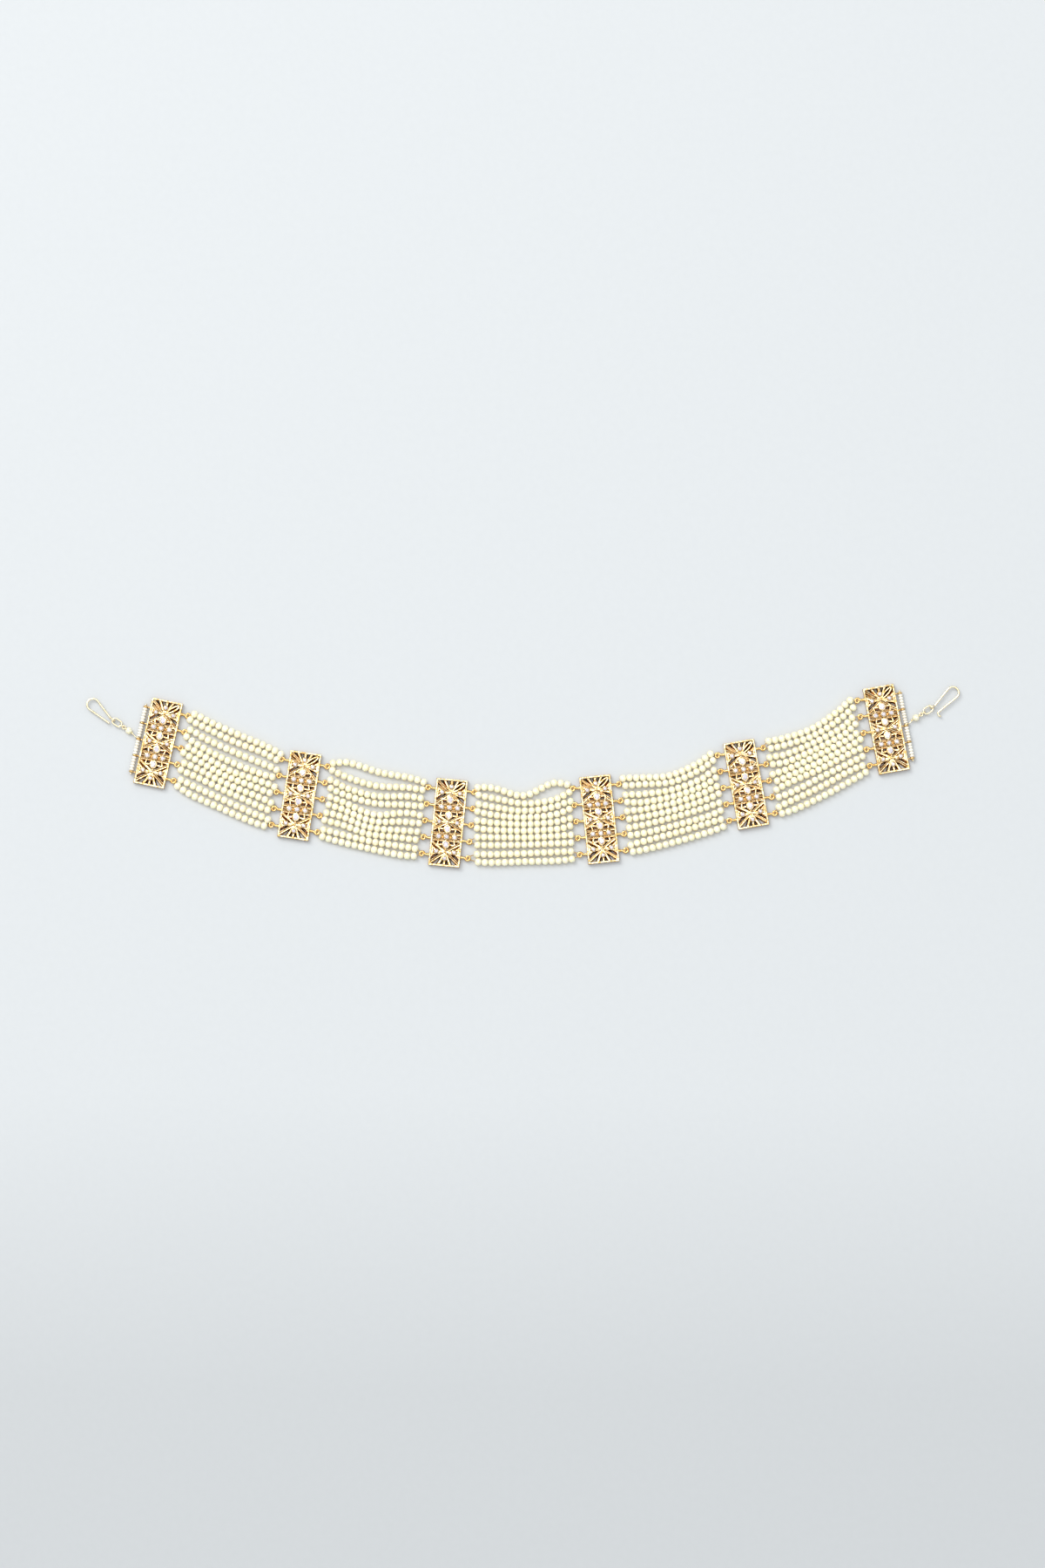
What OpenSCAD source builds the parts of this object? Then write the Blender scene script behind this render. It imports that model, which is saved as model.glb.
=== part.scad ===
// Matha patti: a hair band of six pierced plates set with stones, joined by strings of
// pearls, with a bar of seed beads and a wire hook at each end. It lies flat in a shallow
// arc on the surface z = 0, runs along x, and has the brow side towards +y.
// Lengths are in millimetres and angles in degrees.

/* [Plates] */
// Width of a plate, along the band
plate_w = 13.9; // [13:0.1:17]
// Length of a plate, across the band
plate_l = 38.9; // [36.5:0.1:46]
// Height of a plate's rim
rim_h = 2.4; // [2.2:0.1:2.8]
// Width of a plate's rim
rim_w = 0.9; // [0.7:0.05:1.2]
// Width of a bar of the pierced pattern
bar_w = 0.85; // [0.6:0.05:1]
// Height of a bar of the pierced pattern
bar_h = 1.8; // [1.2:0.1:2.1]
// Diameter of the boss where the bars of the pattern meet
boss_d = 1.2; // [0.9:0.1:1.6]
// Thickness of the sheet under the side petals of a flower
sheet_t = 0.8; // [0.5:0.1:1.1]

/* [Stones] */
// Length of a kite stone
kite_l = 3.7; // [3.2:0.1:4.2]
// Width of a kite stone
kite_w = 2.9; // [2.4:0.1:3.2]
// Diameter of the round stones of a flower
flower_stone_d = 2.1; // [1.7:0.1:2.3]
// Diameter of the round stones between the bars
small_stone_d = 1.8; // [1.4:0.1:2]
// Wall of a collet around its stone
collet_wall = 0.4; // [0.3:0.05:0.5]
// Height of a collet
collet_h = 2.6; // [2.4:0.1:3]
// Depth of the seat in a collet
seat_depth = 1; // [0.8:0.1:1.2]
// Height of a stone's table above its collet
stone_rise = 0.4; // [0.2:0.05:0.6]
// Gap between a stone and its seat
seat_gap = 0.08; // [0.05:0.01:0.12]

/* [Pearls] */
// Diameter of a pearl
pearl_d = 2.85; // [2.6:0.05:2.95]
// Gap between neighbouring pearls of a string
pearl_gap = 0.1; // [0.1:0.01:0.2]
// Pearls on each string
pearl_count = 15; // [13:2:17]
// Bore of a pearl
pearl_bore = 1; // [0.9:0.05:1.2]
// Diameter of the thread
thread_d = 0.3; // [0.24:0.02:0.36]
// Diameter of a string where it is one plain tube
tube_d = 2.6; // [2.3:0.05:2.65]
// Distance from a ring's centre to the first pearl's centre
string_lead = 2.75; // [2.7:0.05:3.4]

/* [Rings] */
// Distance from ring to ring
ring_pitch = 7.4; // [7.3:0.05:7.9]
// Outer diameter of a ring that holds two strings
ring_d = 2.6; // [2.4:0.1:2.9]
// Wire of a ring
ring_wire = 0.6; // [0.45:0.05:0.65]
// Distance from a plate's edge to a ring's centre
ring_reach = 3.2; // [3:0.1:4]
// Thickness of the neck that carries a ring
neck_d = 1; // [0.7:0.1:1.2]

/* [Bead bars] */
// Diameter of the bar of seed beads
bead_bar_d = 2.1; // [1.8:0.1:2.4]
// Diameter of the pin through the bar
pin_d = 0.5; // [0.4:0.05:0.6]
// Distance from a plate's edge to the pin
pin_reach = 2.1; // [1.9:0.1:2.8]
// Outer diameter of an eyelet that holds the pin
eyelet_d = 2.3; // [2.1:0.1:2.5]
// Wire of an eyelet
eyelet_wire = 0.6; // [0.5:0.05:0.65]

/* [End chains] */
// Wire of the pearl's double eye and of the short link
fine_wire = 0.5; // [0.4:0.05:0.55]
// Distance from the pin to the middle of the chain's pearl
end_pearl_at = 5.4; // [5:0.1:6.5]
// Wire of the oval link
link_wire = 0.7; // [0.6:0.05:0.75]
// Length of the oval link
link_l = 5.2; // [4.6:0.1:6]
// Width of the oval link
link_w = 3.4; // [3:0.1:3.8]
// Wire of a hook
hook_wire = 0.84; // [0.7:0.02:0.86]
// Length of a hook's bow, from its eye to the far end of its bend
hook_l = 13.4; // [12:0.1:16]
// Inner width of a hook's bend
hook_bend = 4.4; // [4:0.1:5]

/* [Hidden] */

$fn = 48;

// Rings on each side of a plate, each for a pair of strings
ring_count = 5;

// Turn of each plate from upright, and direction of each step from plate to plate
PLATE_TURN = [-12, -8.5, -5.5, 6, 9.8, 10.3];
STEP_TURN = [-20.4, -10.4, 1.3, 13.5, 21.5];
// Direction of the chain and hook at the left end and at the right end
END_TURN = [145, 33];

// Where the pattern's points lie, as shares of a plate's half length, up positive
NODE_Y = [0.685, 0.012, -0.67];
FLOWER_Y = [0.346, -0.324];
END_STONE_Y = [0.822, -0.822];
// How far out the side petals and side stones stand, as shares of the half width
PETAL_X = 0.51;
SIDE_STONE_X = 0.57;
// Bars from a node to the rim: the node, then the end as shares of half width and length
NODE_BARS = [
    [0, [0.62, 1]], [0, [1, 1]], [0, [1, 0.48]],
    [1, [1, 0.19]], [1, [1, -0.17]],
    [2, [1, -0.44]], [2, [1, -1]], [2, [0.46, -1]]
];

// Sideways place of each string, in hundredths of the ring pitch, towards +y positive.
// One row to a string from the brow side down, at the five stations of BOW_AT, which are
// shares of the way from the left ring to the right ring.
BOW_AT = [0.062, 0.2, 0.5, 0.8, 0.938];
BOWS = [
    [
        [24, 21, 24, 31, 27], [-18, -21, -24, -11, -14],
        [26, 16, 16, 24, 26], [-24, -39, -47, -37, -24],
        [24, 16, 0, 18, 24], [-21, -26, -39, -26, -21],
        [24, 26, 16, 24, 24], [-21, -21, -24, -24, -24],
        [21, 18, 18, 18, 21], [-21, -34, -34, -31, -22]
    ],
    [
        [27, 47, 29, 34, 26], [-18, -39, -55, -26, -21],
        [21, -3, -16, 21, 26], [-24, -45, -60, -31, -21],
        [21, 8, -29, 21, 24], [-24, -34, -68, -34, -24],
        [24, 21, -8, 13, 24], [-21, -26, -47, -31, -24],
        [21, 16, 10, 18, 21], [-21, -29, -34, -34, -22]
    ],
    [
        [26, 18, -31, 37, 27], [-22, -42, -79, -63, -27],
        [24, 5, -26, -5, 21], [-21, -42, -65, -52, -24],
        [24, 10, -5, 3, 21], [-21, -34, -45, -42, -24],
        [24, 21, 16, 18, 21], [-21, -26, -29, -26, -24],
        [21, 18, 18, 21, 21], [-21, -31, -31, -31, -22]
    ],
    [
        [24, 3, -37, -13, 20], [-21, -39, -76, -52, -22],
        [24, 3, -24, -10, 20], [-21, -47, -63, -52, -26],
        [24, 10, -3, 5, 21], [-24, -34, -45, -37, -24],
        [24, 18, 13, 16, 21], [-21, -31, -37, -37, -24],
        [21, 21, 18, 21, 21], [-21, -29, -34, -31, -22]
    ],
    [
        [22, -3, -29, -3, 22], [-24, -45, -71, -47, -24],
        [24, 0, -13, -8, 22], [-21, -45, -52, -46, -21],
        [22, 10, 5, 7, 19], [-24, -29, -37, -31, -24],
        [24, 29, 21, 26, 24], [-21, -29, -26, -26, -24],
        [21, 21, 18, 26, 21], [-21, -34, -37, -29, -22]
    ]
];

// Heights: the strings' middle, a stone's table, girdle and foot
SURFACE_GAP = 0.05;
string_z = pearl_d / 2 + SURFACE_GAP;
stone_top = collet_h + stone_rise;
stone_foot = collet_h - seat_depth + seat_gap;
GIRDLE_DROP = 0.15;
stone_girdle = collet_h - GIRDLE_DROP;
// Sections of a cut stone, from its foot to its table, as shares of its outline
FOOT_SHARE = 0.5;
TABLE_SHARE = 0.6;

// Strings and rings
pearl_pitch = pearl_d + pearl_gap;
string_span = (pearl_count - 1) * pearl_pitch + 2 * string_lead;
plate_step = plate_w + 2 * ring_reach + string_span;
ring_r = (ring_d - ring_wire) / 2;
thread_r = thread_d / 2;
tube_r = tube_d / 2;
THREAD_CLEAR = 0.12;
thread_hop = ring_wire / 2 + thread_r + THREAD_CLEAR;
// Half of the angle between the two strings as they cross their ring's wire, and how far
// round the wire each one goes before it runs straight on
CROSS_TURN = 50;
LEAVE_TURN = 50;
front_pair = ring_count - 1;
TUBE_SIDES = 8;
TUBE_STEPS = 6;
// Where a plain tube starts to swell, as a share of the lead, and its girth there
MOUTH_AT = 0.8;
MOUTH_GIRTH = 0.75;

// The bead bar and the end chain: distances along the chain from the pin
eyelet_r = (eyelet_d - eyelet_wire) / 2;
BAR_CLEAR = 0.08;
CHAIN_CLEAR = 0.1;
eye_r = (bead_bar_d / 2 + BAR_CLEAR + fine_wire + pin_d / 2 + CHAIN_CLEAR) / 2;
small_eye_r = 0.75;
eye_off = eyelet_wire / 2 + fine_wire / 2 + BAR_CLEAR;
eye_out = eye_r - fine_wire / 2 - pin_d / 2 - CHAIN_CLEAR;
EYE_FREE = 0.3;
outer_eye_at = end_pearl_at + pearl_d / 2 + small_eye_r + fine_wire / 2 + EYE_FREE;
// Where the pearl's wire bends from its eye into line, before the pearl. The wire is a little
// thinner than the eye, so that its end lies inside it, and its two lengths lap at the bend.
ELBOW_FREE = 0.25;
STEM_SHARE = 0.88;
ELBOW_LAP = 0.1;
elbow_at = end_pearl_at - pearl_d / 2 - ELBOW_FREE;
stem_d = STEM_SHARE * fine_wire;
short_from = outer_eye_at + small_eye_r - fine_wire - CHAIN_CLEAR;
SHORT_R = 0.85;
short_l = link_wire / 2 + 1.5 * fine_wire + 2 * CHAIN_CLEAR + small_eye_r;
short_to = short_from + short_l;
oval_r = (link_w - link_wire) / 2;
oval_from = short_to - fine_wire / 2 - link_wire / 2 - CHAIN_CLEAR;
oval_to = oval_from + link_l - link_wire;
hook_eye_r = hook_wire / 2 + link_wire / 2 + CHAIN_CLEAR;
hook_eye_at = oval_to;
hook_from = hook_eye_at + hook_eye_r;
bend_r = (hook_bend + hook_wire) / 2;
bend_at = hook_from + hook_l - bend_r - hook_wire / 2;
BEND_SIDE = 0.4;
// Splay of the free leg, its length as a share of the bow, and the curl of its tip
HOOK_SPLAY = [0, 6];
HOOK_CURL = [25, 130];
LEG_SHARE = 0.76;
CURL_R = 1.2;
BEND_STEPS = 12;
CURL_STEPS = 5;
HOOK_SIDES = 10;

// Places in the plane
function turned(p, a) = [p.x * cos(a) - p.y * sin(a), p.x * sin(a) + p.y * cos(a)];
function chained(i) = i == 0
    ? [0, 0]
    : chained(i - 1) + turned([plate_step, 0], STEP_TURN[i - 1]);
function on_plate(i, p) = chained(i) + turned(p, PLATE_TURN[i]);
function pin_point(e) = on_plate(e * 5, [(2 * e - 1) * (plate_w / 2 + pin_reach), 0]);
function eye_point(e) = pin_point(e) + turned([0, eye_off], PLATE_TURN[5 * e]);
function bend_point(e) = eye_point(e) + turned([bend_at, (2 * e - 1) * BEND_SIDE], END_TURN[e]);
EXTREMES = concat(
    [for (i = [0:5], x = [-0.5, 0.5], y = [-0.5, 0.5]) on_plate(i, [x * plate_w, y * plate_l])],
    [for (e = [0, 1]) bend_point(e) + [(2 * e - 1) * (bend_r + hook_wire / 2), 0]]
);
middle = [
    (min([for (p = EXTREMES) p.x]) + max([for (p = EXTREMES) p.x])) / 2,
    (min([for (p = EXTREMES) p.y]) + max([for (p = EXTREMES) p.y])) / 2
];

function ring_y(k) = ((ring_count - 1) / 2 - k) * ring_pitch;
function ring_at(i, side, k) =
    on_plate(i, [side * (plate_w / 2 + ring_reach), ring_y(k)]) - middle;

// A string's sideways place at share t, through its stations with smooth slopes
function bow_slope(row, k) = k == 0
    ? (row[1] - 0.5 * row[0]) / (BOW_AT[1] - 0.5 * BOW_AT[0])
    : k == 4
    ? (0.5 * row[4] - row[3]) / (BOW_AT[1] - 0.5 * BOW_AT[0])
    : (row[k + 1] - row[k - 1]) / (BOW_AT[k + 1] - BOW_AT[k - 1]);
function eased(a, b, slope_a, slope_b, h, u) =
    a * (1 + 2 * u) * pow(1 - u, 2) + slope_a * h * u * pow(1 - u, 2)
    + b * (3 - 2 * u) * u * u - slope_b * h * (1 - u) * u * u;
function bow_in(row, k, t) = let (h = BOW_AT[k + 1] - BOW_AT[k])
    eased(row[k], row[k + 1], bow_slope(row, k), bow_slope(row, k + 1), h, (t - BOW_AT[k]) / h);
function bow(row, t) = t <= BOW_AT[0]
    ? row[0] + bow_slope(row, 0) * (t - BOW_AT[0])
    : t >= BOW_AT[4]
    ? row[4] + bow_slope(row, 4) * (t - BOW_AT[4])
    : bow_in(row, t < BOW_AT[1] ? 0 : t < BOW_AT[2] ? 1 : t < BOW_AT[3] ? 2 : 3, t);

// A point of string s in gap g, at distance d along the line from ring to ring, with its
// sideways place and its height given apart
function pair_of(s) = floor(s / 2);
function from_ring(g, s) = ring_at(g, 1, pair_of(s));
function to_ring(g, s) = ring_at(g + 1, -1, pair_of(s));
function chord(g, s) = norm(to_ring(g, s) - from_ring(g, s));
function beside(g, s, d, side, z) = let (
    way = (to_ring(g, s) - from_ring(g, s)) / chord(g, s),
    p = from_ring(g, s) + way * d + [-way.y, way.x] * side
) [p.x, p.y, z];
function strung(g, s, d) =
    beside(g, s, d, bow(BOWS[g][s], d / chord(g, s)) * ring_pitch / 100, string_z);

// Where a string crosses its ring's wire, at an angle past the top of the wire. A string
// of an even number goes over the wire and one of an odd number goes under it.
function crossing(g, s, at_start, a) = let (
    side = s % 2 == 0 ? 1 : -1,
    reach = ring_r + thread_hop * sin(a),
    d = reach * cos(CROSS_TURN)
) beside(
    g, s, at_start ? d : chord(g, s) - d,
    side * reach * sin(CROSS_TURN), string_z + side * thread_hop * cos(a)
);

// A pearl's middle on its string, or past the last pearl the place where the thread
// comes off the ring
function pearl_place(g, s, k) = k < 0
    ? crossing(g, s, true, LEAVE_TURN)
    : k >= pearl_count
    ? crossing(g, s, false, LEAVE_TURN)
    : strung(g, s, chord(g, s) / 2 + (k - (pearl_count - 1) / 2) * pearl_pitch);
function heading(from, to) = [to.x - from.x, to.y - from.y] / norm([to.x - from.x, to.y - from.y]);
function pearl_way(g, s, k) =
    heading(pearl_place(g, s, k - 1), pearl_place(g, s, k))
    + heading(pearl_place(g, s, k), pearl_place(g, s, k + 1));

// Sections of a string from ring to ring, each a place and a radius
function tube_at(g, s, k) = string_lead + k * (chord(g, s) - 2 * string_lead) / TUBE_STEPS;
function tube_sections(g, s) = concat(
    [[strung(g, s, MOUTH_AT * string_lead), MOUTH_GIRTH * tube_r]],
    [for (k = [0:TUBE_STEPS]) [strung(g, s, tube_at(g, s, k)), tube_r]],
    [[strung(g, s, chord(g, s) - MOUTH_AT * string_lead), MOUTH_GIRTH * tube_r]]
);
function thread_sections(g, s) =
    [for (k = [0:2:pearl_count - 1]) [pearl_place(g, s, k), thread_r]];
function with_crossings(g, s, body) = concat(
    [for (a = [0, LEAVE_TURN]) [crossing(g, s, true, a), thread_r]],
    body,
    [for (a = [LEAVE_TURN, 0]) [crossing(g, s, false, a), thread_r]]
);
function backwards(list) = [for (i = [len(list) - 1:-1:0]) list[i]];
function loop_sections(g, k, upper, lower) = concat(
    [[beside(g, 2 * k, 0, 0, string_z), thread_r]],
    with_crossings(g, 2 * k, upper),
    [[beside(g, 2 * k, chord(g, 2 * k), 0, string_z), thread_r]],
    backwards(with_crossings(g, 2 * k + 1, lower))
);

// A tube through a list of sections, each a place and a radius. A closed one joins its
// last section to its first, and an open one has flat ends.
module tube(path, sides, closed) {
    n = len(path);
    points = [
        for (i = [0:n - 1])
            let (
                ahead = closed ? (i + 1) % n : min(i + 1, n - 1),
                behind = closed ? (i + n - 1) % n : max(i - 1, 0),
                way = path[ahead][0] - path[behind][0],
                t = way / norm(way),
                level = cross([0, 0, 1], t),
                a = level / norm(level),
                b = cross(t, a)
            )
            for (j = [0:sides - 1])
                let (w = 360 * j / sides)
                path[i][0] + path[i][1] * (a * cos(w) + b * sin(w))
    ];
    function at(i, j) = (i % n) * sides + j % sides;
    polyhedron(points, concat(
        [
            for (i = [0:closed ? n - 1 : n - 2], j = [0:sides - 1], half = [0, 1])
                half == 0
                    ? [at(i + 1, j + 1), at(i + 1, j), at(i, j)]
                    : [at(i, j + 1), at(i + 1, j + 1), at(i, j)]
        ],
        closed ? [] : [
            [for (j = [0:sides - 1]) at(0, j)],
            [for (j = [sides - 1:-1:0]) at(n - 1, j)]
        ]
    ));
}

// Plates
function up(y) = y * plate_l / 2;
function on_rim(p) = [p.x * (plate_w - rim_w) / 2, p.y * (plate_l - rim_w) / 2];
petal_x = PETAL_X * plate_w / 2;
side_x = SIDE_STONE_X * plate_w / 2;
kite_out = (kite_l + flower_stone_d) / 2 + collet_wall + 2 * seat_gap;
flower_reach = flower_stone_d / 2 + collet_wall;
KITE_PLACES = [for (y = FLOWER_Y, side = [1, -1]) [0, up(y) + side * kite_out]];
PETAL_PLACES = [for (y = FLOWER_Y, x = [-petal_x, petal_x]) [x, up(y)]];
FLOWER_PLACES = concat(PETAL_PLACES, [for (y = FLOWER_Y) [0, up(y)]]);
SMALL_PLACES = concat(
    [for (y = NODE_Y, x = [-side_x, side_x]) [x, up(y)]],
    [for (y = END_STONE_Y) [0, up(y)]]
);
NODE_PLACES = [for (y = NODE_Y) [0, up(y)]];

// Outlines of a kite stone and of a round one
function kite_points(l, w) = [
    [0, l / 2], [-0.4 * w, 0.27 * l], [-w / 2, 0], [-0.4 * w, -0.27 * l],
    [0, -l / 2], [0.4 * w, -0.27 * l], [w / 2, 0], [0.4 * w, 0.27 * l]
];
function round_points(d) = [for (k = [0:7]) turned([0, d / 2], 45 * k + 22.5)];

module at_each(places) {
    for (p = places) {
        translate([p.x, p.y, 0]) children();
    }
}

// Every stone's outline, wider by a margin all round
module stone_outlines(margin) {
    at_each(KITE_PLACES) polygon(kite_points(kite_l + 2 * margin, kite_w + 2 * margin));
    at_each(FLOWER_PLACES) circle(d = flower_stone_d + 2 * margin);
    at_each(SMALL_PLACES) circle(d = small_stone_d + 2 * margin);
}

module bar(from, to) {
    way = to - from;
    translate(from)
        rotate(atan2(way.y, way.x))
        translate([0, -bar_w / 2])
        square([norm(way), bar_w]);
}

module pattern_bars() {
    for (side = [-1, 1], b = NODE_BARS) {
        bar([0, up(NODE_Y[b[0]])], on_rim([side * b[1].x, b[1].y]));
    }
    for (side = [-1, 1], y = NODE_Y) {
        bar([0, up(y)], [side * side_x, up(y)]);
    }
    for (y = FLOWER_Y, edge = [-flower_reach, flower_reach]) {
        translate([0, up(y) + edge]) square([plate_w - rim_w, bar_w], center = true);
    }
    bar([0, up(NODE_Y[0])], on_rim([0, 1]));
    bar([0, up(NODE_Y[2])], on_rim([0, -1]));
    bar([0, up(NODE_Y[0])], [0, up(NODE_Y[2])]);
}

module rim() {
    difference() {
        square([plate_w, plate_l], center = true);
        square([plate_w - 2 * rim_w, plate_l - 2 * rim_w], center = true);
    }
}

module flower_sheets() {
    for (y = FLOWER_Y) {
        translate([0, up(y)]) square([plate_w - rim_w, 2 * flower_reach], center = true);
    }
}

// A stem out of the rim along x, and the ring that it carries
module stem(wire, l) {
    translate([-rim_w / 2, 0, 0]) rotate([0, 90, 0]) cylinder(d = wire, h = l + rim_w / 2);
}

module wire_ring(r, wire) {
    rotate_extrude() translate([r, 0]) circle(d = wire);
}

module string_ring() {
    stem(neck_d, ring_reach - ring_r);
    translate([ring_reach, 0, 0]) wire_ring(ring_r, ring_wire);
}

module pin_eyelet() {
    stem(eyelet_wire, pin_reach - eyelet_r);
    translate([pin_reach, 0, 0]) rotate([90, 0, 0]) wire_ring(eyelet_r, eyelet_wire);
}

module side_fittings(side, holds_pin) {
    for (k = [0:ring_count - 1]) {
        translate([side * plate_w / 2, ring_y(k), string_z])
            rotate([0, 0, side > 0 ? 0 : 180]) {
                if (holds_pin) pin_eyelet();
                if (!holds_pin) string_ring();
            }
    }
}

module plate_metal(i) {
    difference() {
        union() {
            linear_extrude(rim_h) rim();
            linear_extrude(bar_h) pattern_bars();
            linear_extrude(sheet_t) flower_sheets();
            linear_extrude(collet_h) stone_outlines(collet_wall);
            linear_extrude(collet_h) at_each(NODE_PLACES) circle(d = boss_d);
        }
        translate([0, 0, collet_h - seat_depth])
            linear_extrude(seat_depth + 1)
            stone_outlines(seat_gap);
    }
    side_fittings(-1, i == 0);
    side_fittings(1, i == 5);
}

module placed_on_plate(i) {
    at = chained(i) - middle;
    translate([at.x, at.y, 0]) rotate([0, 0, PLATE_TURN[i]]) children();
}

module plate(i) {
    color("goldenrod") placed_on_plate(i) union() plate_metal(i);
}

// A cut stone of an eight-sided outline: foot, girdle and table
module cut_stone(outline) {
    n = len(outline);
    points = concat(
        [for (p = outline) [p.x * FOOT_SHARE, p.y * FOOT_SHARE, stone_foot]],
        [for (p = outline) [p.x, p.y, stone_girdle]],
        [for (p = outline) [p.x * TABLE_SHARE, p.y * TABLE_SHARE, stone_top]]
    );
    polyhedron(points, concat(
        [[for (k = [0:n - 1]) k]],
        [for (r = [0, 1], k = [0:n - 1])
            [r * n + k, (r + 1) * n + k, (r + 1) * n + (k + 1) % n, r * n + (k + 1) % n]],
        [[for (k = [n - 1:-1:0]) 2 * n + k]]
    ));
}

module stones(i) {
    color("white") placed_on_plate(i) {
        at_each(KITE_PLACES) cut_stone(kite_points(kite_l, kite_w));
        at_each(PETAL_PLACES) cut_stone(round_points(flower_stone_d));
    }
}

// Strings
module string_pair(g, k) {
    upper = tube_sections(g, 2 * k);
    lower = tube_sections(g, 2 * k + 1);
    color("ivory") tube(loop_sections(g, k, upper, lower), TUBE_SIDES, true);
}

module thread(g) {
    upper = thread_sections(g, 2 * front_pair);
    lower = thread_sections(g, 2 * front_pair + 1);
    color("khaki") tube(loop_sections(g, front_pair, upper, lower), TUBE_SIDES, true);
}

module drilled_pearl() {
    difference() {
        sphere(d = pearl_d);
        cylinder(d = pearl_bore, h = pearl_d + 1, center = true);
    }
}

module pearls(g) {
    color("ivory")
        for (s = [2 * front_pair, 2 * front_pair + 1], k = [0:pearl_count - 1]) {
            way = pearl_way(g, s, k);
            translate(pearl_place(g, s, k))
                rotate([0, 0, atan2(way.y, way.x)])
                rotate([0, 90, 0])
                drilled_pearl();
        }
}

// The pin and its bead bar, in the frame of an end plate, along y
module placed_bar(e) {
    placed_on_plate(5 * e)
        translate([(2 * e - 1) * (plate_w / 2 + pin_reach), 0, string_z])
        rotate([90, 0, 0])
        children();
}

PIN_OVER = 0.9;
module bar_pin(e) {
    color("goldenrod") placed_bar(e) union() {
        cylinder(d = pin_d, h = (ring_count - 1) * ring_pitch + 2 * PIN_OVER, center = true);
        for (side = [-1, 1]) {
            translate([0, 0, side * ((ring_count - 1) * ring_pitch / 2 + PIN_OVER)]) sphere(d = 2 * pin_d);
        }
    }
}

module bead_bar(e) {
    near = eyelet_wire / 2 + BAR_CLEAR;
    eye_room = eye_off + fine_wire / 2 + BAR_CLEAR;
    color("ivory") placed_bar(e)
        for (k = [0:ring_count - 2]) {
            low = -ring_y(k) + near;
            high = -ring_y(k + 1) - (abs(ring_y(k + 1)) < ring_pitch / 2 ? eye_room : near);
            translate([0, 0, low])
                difference() {
                    cylinder(d = bead_bar_d, h = high - low);
                    translate([0, 0, -1]) cylinder(d = pin_d + 2 * BAR_CLEAR, h = high - low + 2);
                }
        }
}

// The end chain, in a frame whose x runs out along the chain from the pin
module placed_chain(e) {
    at = eye_point(e) - middle;
    translate([at.x, at.y, string_z]) rotate([0, 0, END_TURN[e]]) children();
}

// A link of two bends and two straight sides, flat, with its near bend's wire at x = 0
module link(l, r, wire) {
    straight = l - 2 * r;
    translate([r, 0, 0]) rotate_extrude(angle = 180, start = 90) translate([r, 0]) circle(d = wire);
    translate([l - r, 0, 0]) rotate_extrude(angle = 180, start = -90) translate([r, 0]) circle(d = wire);
    for (side = [-r, r]) {
        translate([r, side, 0]) rotate([0, 90, 0]) cylinder(d = wire, h = straight);
    }
}

// A straight wire between two points of the plane, which laps a little past the second
module straight_wire(from, to, wire) {
    way = to - from;
    translate([from.x, from.y, 0])
        rotate([0, 0, atan2(way.y, way.x)])
        rotate([0, 90, 0])
        cylinder(d = wire, h = norm(way) + ELBOW_LAP);
}

module eye_pin(e) {
    // The eye stands in the plane across the pin, which the chain's frame is turned from
    out = PLATE_TURN[5 * e] + (1 - e) * 180 - END_TURN[e];
    color("goldenrod") placed_chain(e) union() {
        rotate([0, 0, out]) translate([eye_out, 0, 0]) rotate([90, 0, 0]) wire_ring(eye_r, fine_wire);
        straight_wire(turned([eye_out + eye_r, 0], out), [elbow_at, 0], stem_d);
        straight_wire([elbow_at - ELBOW_LAP, 0], [outer_eye_at - small_eye_r, 0], stem_d);
        translate([outer_eye_at, 0, 0]) wire_ring(small_eye_r, fine_wire);
    }
}

module end_pearl(e) {
    color("ivory") placed_chain(e)
        translate([end_pearl_at, 0, 0])
        rotate([0, 90, 0])
        drilled_pearl();
}

module short_link(e) {
    color("goldenrod") placed_chain(e)
        translate([short_from, 0, 0])
        rotate([90, 0, 0])
        link(short_l, SHORT_R, fine_wire);
}

module oval_link(e) {
    color("goldenrod") placed_chain(e)
        translate([oval_from, 0, 0])
        link(link_l - link_wire, oval_r, link_wire);
}

// The hook's wire from its eye: a leg, a bend, the free leg and the curl of its tip
function arc_points(centre, r, from, sweep, n) =
    [for (k = [0:n]) centre + turned([r, 0], from + sweep * k / n)];
function hook_points(e) = let (
    centre = [bend_at, BEND_SIDE],
    way = centre - [hook_from, 0],
    leg_turn = atan2(way.y, way.x) + asin(bend_r / norm(way)),
    end_turn = HOOK_SPLAY[e] - 90,
    leg_end = centre + turned([bend_r, 0], end_turn),
    tip = leg_end + turned([LEG_SHARE * hook_l, 0], end_turn - 90),
    curl_at = tip + turned([CURL_R, 0], end_turn)
) concat(
    [[hook_from, 0]],
    arc_points(centre, bend_r, leg_turn + 90, end_turn - leg_turn - 90, BEND_STEPS),
    arc_points(curl_at, CURL_R, end_turn + 180, HOOK_CURL[e], CURL_STEPS)
);

module hook(e) {
    bow = hook_points(e);
    tip = bow[len(bow) - 1];
    tip_way = (tip - bow[len(bow) - 2]) / norm(tip - bow[len(bow) - 2]);
    path = concat(
        [for (p = bow) [[p.x, p.y, 0], hook_wire / 2]],
        [[[tip.x + tip_way.x * hook_wire / 3, tip.y + tip_way.y * hook_wire / 3, 0], hook_wire / 4]]
    );
    color("goldenrod") placed_chain(e) mirror([0, 1 - e, 0]) union() {
        translate([hook_eye_at, 0, 0]) rotate([90, 0, 0]) wire_ring(hook_eye_r, hook_wire);
        tube(path, HOOK_SIDES, false);
    }
}

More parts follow.
